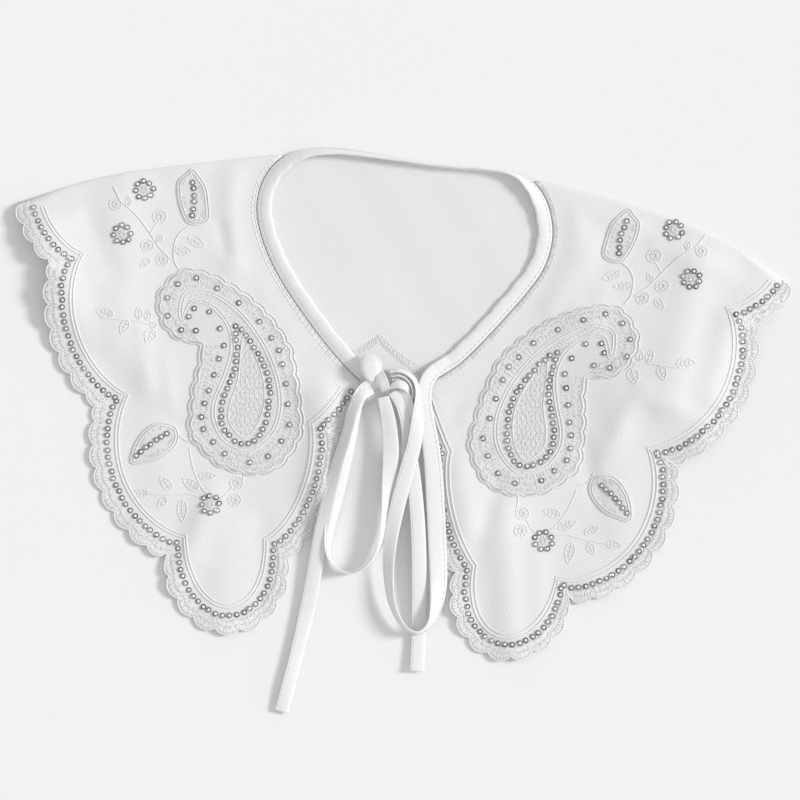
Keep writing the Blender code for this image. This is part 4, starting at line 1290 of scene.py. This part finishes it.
# The lace edging at the back's point: how many of the hem's last steps it has, how far out its two
# lines and the ends of the stitches across are, the pitch of those, and stitch widths and heights.
LACE_REACH = 60
LACE_LINES = (0.0, 3.2)
LACE_ENDS = (0.4, 2.8)
LACE_PITCH = 1.3
LACE_LINE_STITCH = (0.45, 0.16)
LACE_ACROSS_STITCH = (0.4, 0.14)


def back():
    """The back, and the lace edging that shows at its point."""
    panel = sheet_of("net_back", BACK_EDGE, GRID, back_height, NET_SHELL, NET)
    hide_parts("back_panel")
    batches = []
    for side in ("left", "right"):
        hem = BACK_HEMS[side]
        for far in LACE_LINES:
            line = evenly(hem.line(far)[-LACE_REACH:], 1.0)
            flat = np.column_stack((line, back_height(line) + 0.15))
            batches.append((running_stitches(flat, 1.8, 0.5), *LACE_LINE_STITCH))
        starts, ends = (evenly(hem.line(far)[-LACE_REACH:], LACE_PITCH) for far in LACE_ENDS)
        count = min(len(starts), len(ends))
        across = between(starts[:count] + RANDOM.normal(0, 0.25, (count, 2)), ends[:count])
        high = np.full(across.shape[:2], NET_WALL) + 0.05 + 0.14 * STITCH_ARCH
        batches.append((np.concatenate((across, high[..., None]), -1), *LACE_ACROSS_STITCH))
    pieces = [stitches("back_point_stitches", batches)]


# The satin strip

# Steps between the points of a turn of the knot and of a tie.
KNOT_STEPS = 8
TIE_STEPS = 10


def binding():
    """The rolled neck binding, its seam stitches and those on the net beside it."""
    lean = LEAN[:, None]
    out = np.column_stack((OUT, np.zeros(len(OUT))))
    upright = np.array((0.0, 0.0, 1.0))
    across = -out * np.cos(lean) + upright * np.sin(lean)
    up = out * np.sin(lean) + upright * np.cos(lean)
    foot = np.column_stack((SEAM, np.full(len(SEAM), SEAM_EDGE_Z)))
    soft = np.arange(len(MIDDLE)) / BINDING_STEP
    width = BINDING_WIDTH + 0.22 * np.sin(soft * 7.3) + 0.12 * np.sin(soft * 17.0 + 0.7)
    width = width * (1 - UPRIGHT_LESS * np.sin(LEAN) ** 2)
    middle = foot + across * (width / 2)[:, None]
    thick = ROLL * (1 + 0.05 * np.sin(soft * 9.1 + 0.4) + 0.03 * np.sin(soft * 21.0))
    rings = strip_rings(middle, across, up, width, thick, full=np.clip(ROLL - 1.8, 0.0, 1.0))
    faces = ring_faces(len(MIDDLE), STRIP_CORNERS)
    piece = add_piece("satin_binding", rings.reshape(-1, 3), faces, SATIN)
    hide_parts("neck_binding")
    edge = middle - across * (width / 2 - GROOVE_IN)[:, None] + up * (thick * 0.4)[:, None]
    batches = [(running_stitches(edge), *BINDING_STITCH_SIZE)]
    # Two rows of stitching on the net, just outside the seam of each front
    left = slice(LEFT_FRONT_ROW * BINDING_STEP, LEFT_NECK_ROW * BINDING_STEP)
    right = slice(RIGHT_NECK_ROW * BINDING_STEP, None)
    for part in (left, right):
        for far in NET_STITCH_ROWS:
            line = SEAM_LINE[part] + OUT[part] * far
            high = front_height(line) + 0.12
            batches.append((running_stitches(np.column_stack((line, high))), *NET_STITCH_SIZE))
    stitches("binding_stitches", batches)


def knot():
    """The tied knot: turns of the folded strip that pass over and under each other."""
    turns = [strip(f"knot_{name}", rows, KNOT_STEPS)[0] for name, rows in KNOT_TURNS.items()]
    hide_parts("knot")


def ties():
    """The bow's loops and tails, each a satin strip, with their stitched edges."""
    batches = []
    for name, rows, far_end, stitched in (
            ("tail_left", TAIL_LEFT, "bare", 1), ("tail_right", TAIL_RIGHT, "bare", 1),
            ("loop_left", LOOP_LEFT, "object", 1), ("loop_right", LOOP_RIGHT, "object", -1)):
        piece, middle, edge = strip(f"satin_{name}", rows, TIE_STEPS, stitched=stitched)
        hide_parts(name)
        batches.append((running_stitches(edge), *TIE_STITCH_SIZE))
    stitches("tie_stitches", batches)


# The stage

# The view: what one pixel of the 800-pixel frame spans, where the frame's middle falls on the
# tables, how the camera is turned and tilted, and how far away it stands.
PIXEL = 0.5195
FRAME_PIXELS = 800
VIEW_MIDDLE = (5.2, -79.9, 2.0)
VIEW_TURN = 6.0
VIEW_TILT = 4.0
VIEW_FAR = 2.4


def camera():
    """The camera, almost straight above the collar."""
    data = bpy.data.cameras.new("camera")
    data.lens = data.sensor_width * VIEW_FAR / (PIXEL * MM * FRAME_PIXELS)
    obj = bpy.data.objects.new("camera", data)
    turn = Matrix.Rotation(math.radians(VIEW_TURN), 4, "Z")
    turn = turn @ Matrix.Rotation(math.radians(VIEW_TILT), 4, "X")
    target = Vector(metres(VIEW_MIDDLE))
    obj.matrix_world = Matrix.Translation(target + turn.to_3x3() @ Vector((0, 0, VIEW_FAR))) @ turn
    data.clip_start = 0.01
    bpy.context.scene.collection.objects.link(obj)
    bpy.context.scene.camera = obj


# The key light: how high it stands, how far it is turned from the right towards the back, its
# strength, and how wide it is as seen from the collar. Angles are in degrees.
KEY_HEIGHT = 33.0
KEY_TURN = 15.0
KEY_STRENGTH = 2.07
KEY_SOFTNESS = 15.0
SKY_STRENGTH = 0.62
FLOOR_HALF = 1.6


def stage():
    """The pale floor, the key light and the even sky."""
    mesh = bpy.data.meshes.new("floor")
    corners = [(x * FLOOR_HALF, y * FLOOR_HALF, -0.0002) for x, y in ((-1, -1), (1, -1), (1, 1), (-1, 1))]
    mesh.from_pydata(corners, [], [(0, 1, 2, 3)])
    mesh.materials.append(floor_material())
    floor = bpy.data.objects.new("floor", mesh)
    bpy.context.scene.collection.objects.link(floor)
    data = bpy.data.lights.new("key", "SUN")
    data.energy = KEY_STRENGTH
    data.angle = math.radians(KEY_SOFTNESS)
    key = bpy.data.objects.new("key", data)
    key.rotation_euler = (0.0, math.radians(90 - KEY_HEIGHT), math.radians(KEY_TURN))
    bpy.context.scene.collection.objects.link(key)
    world = bpy.data.worlds.new("sky")
    world.use_nodes = True
    sky = world.node_tree.nodes["Background"]
    sky.inputs["Color"].default_value = (1.0, 1.0, 1.0, 1.0)
    sky.inputs["Strength"].default_value = SKY_STRENGTH
    bpy.context.scene.world = world
    bpy.context.scene.view_settings.view_transform = "Standard"


camera()
ties()
knot()
binding()
back()
fronts()
stage()
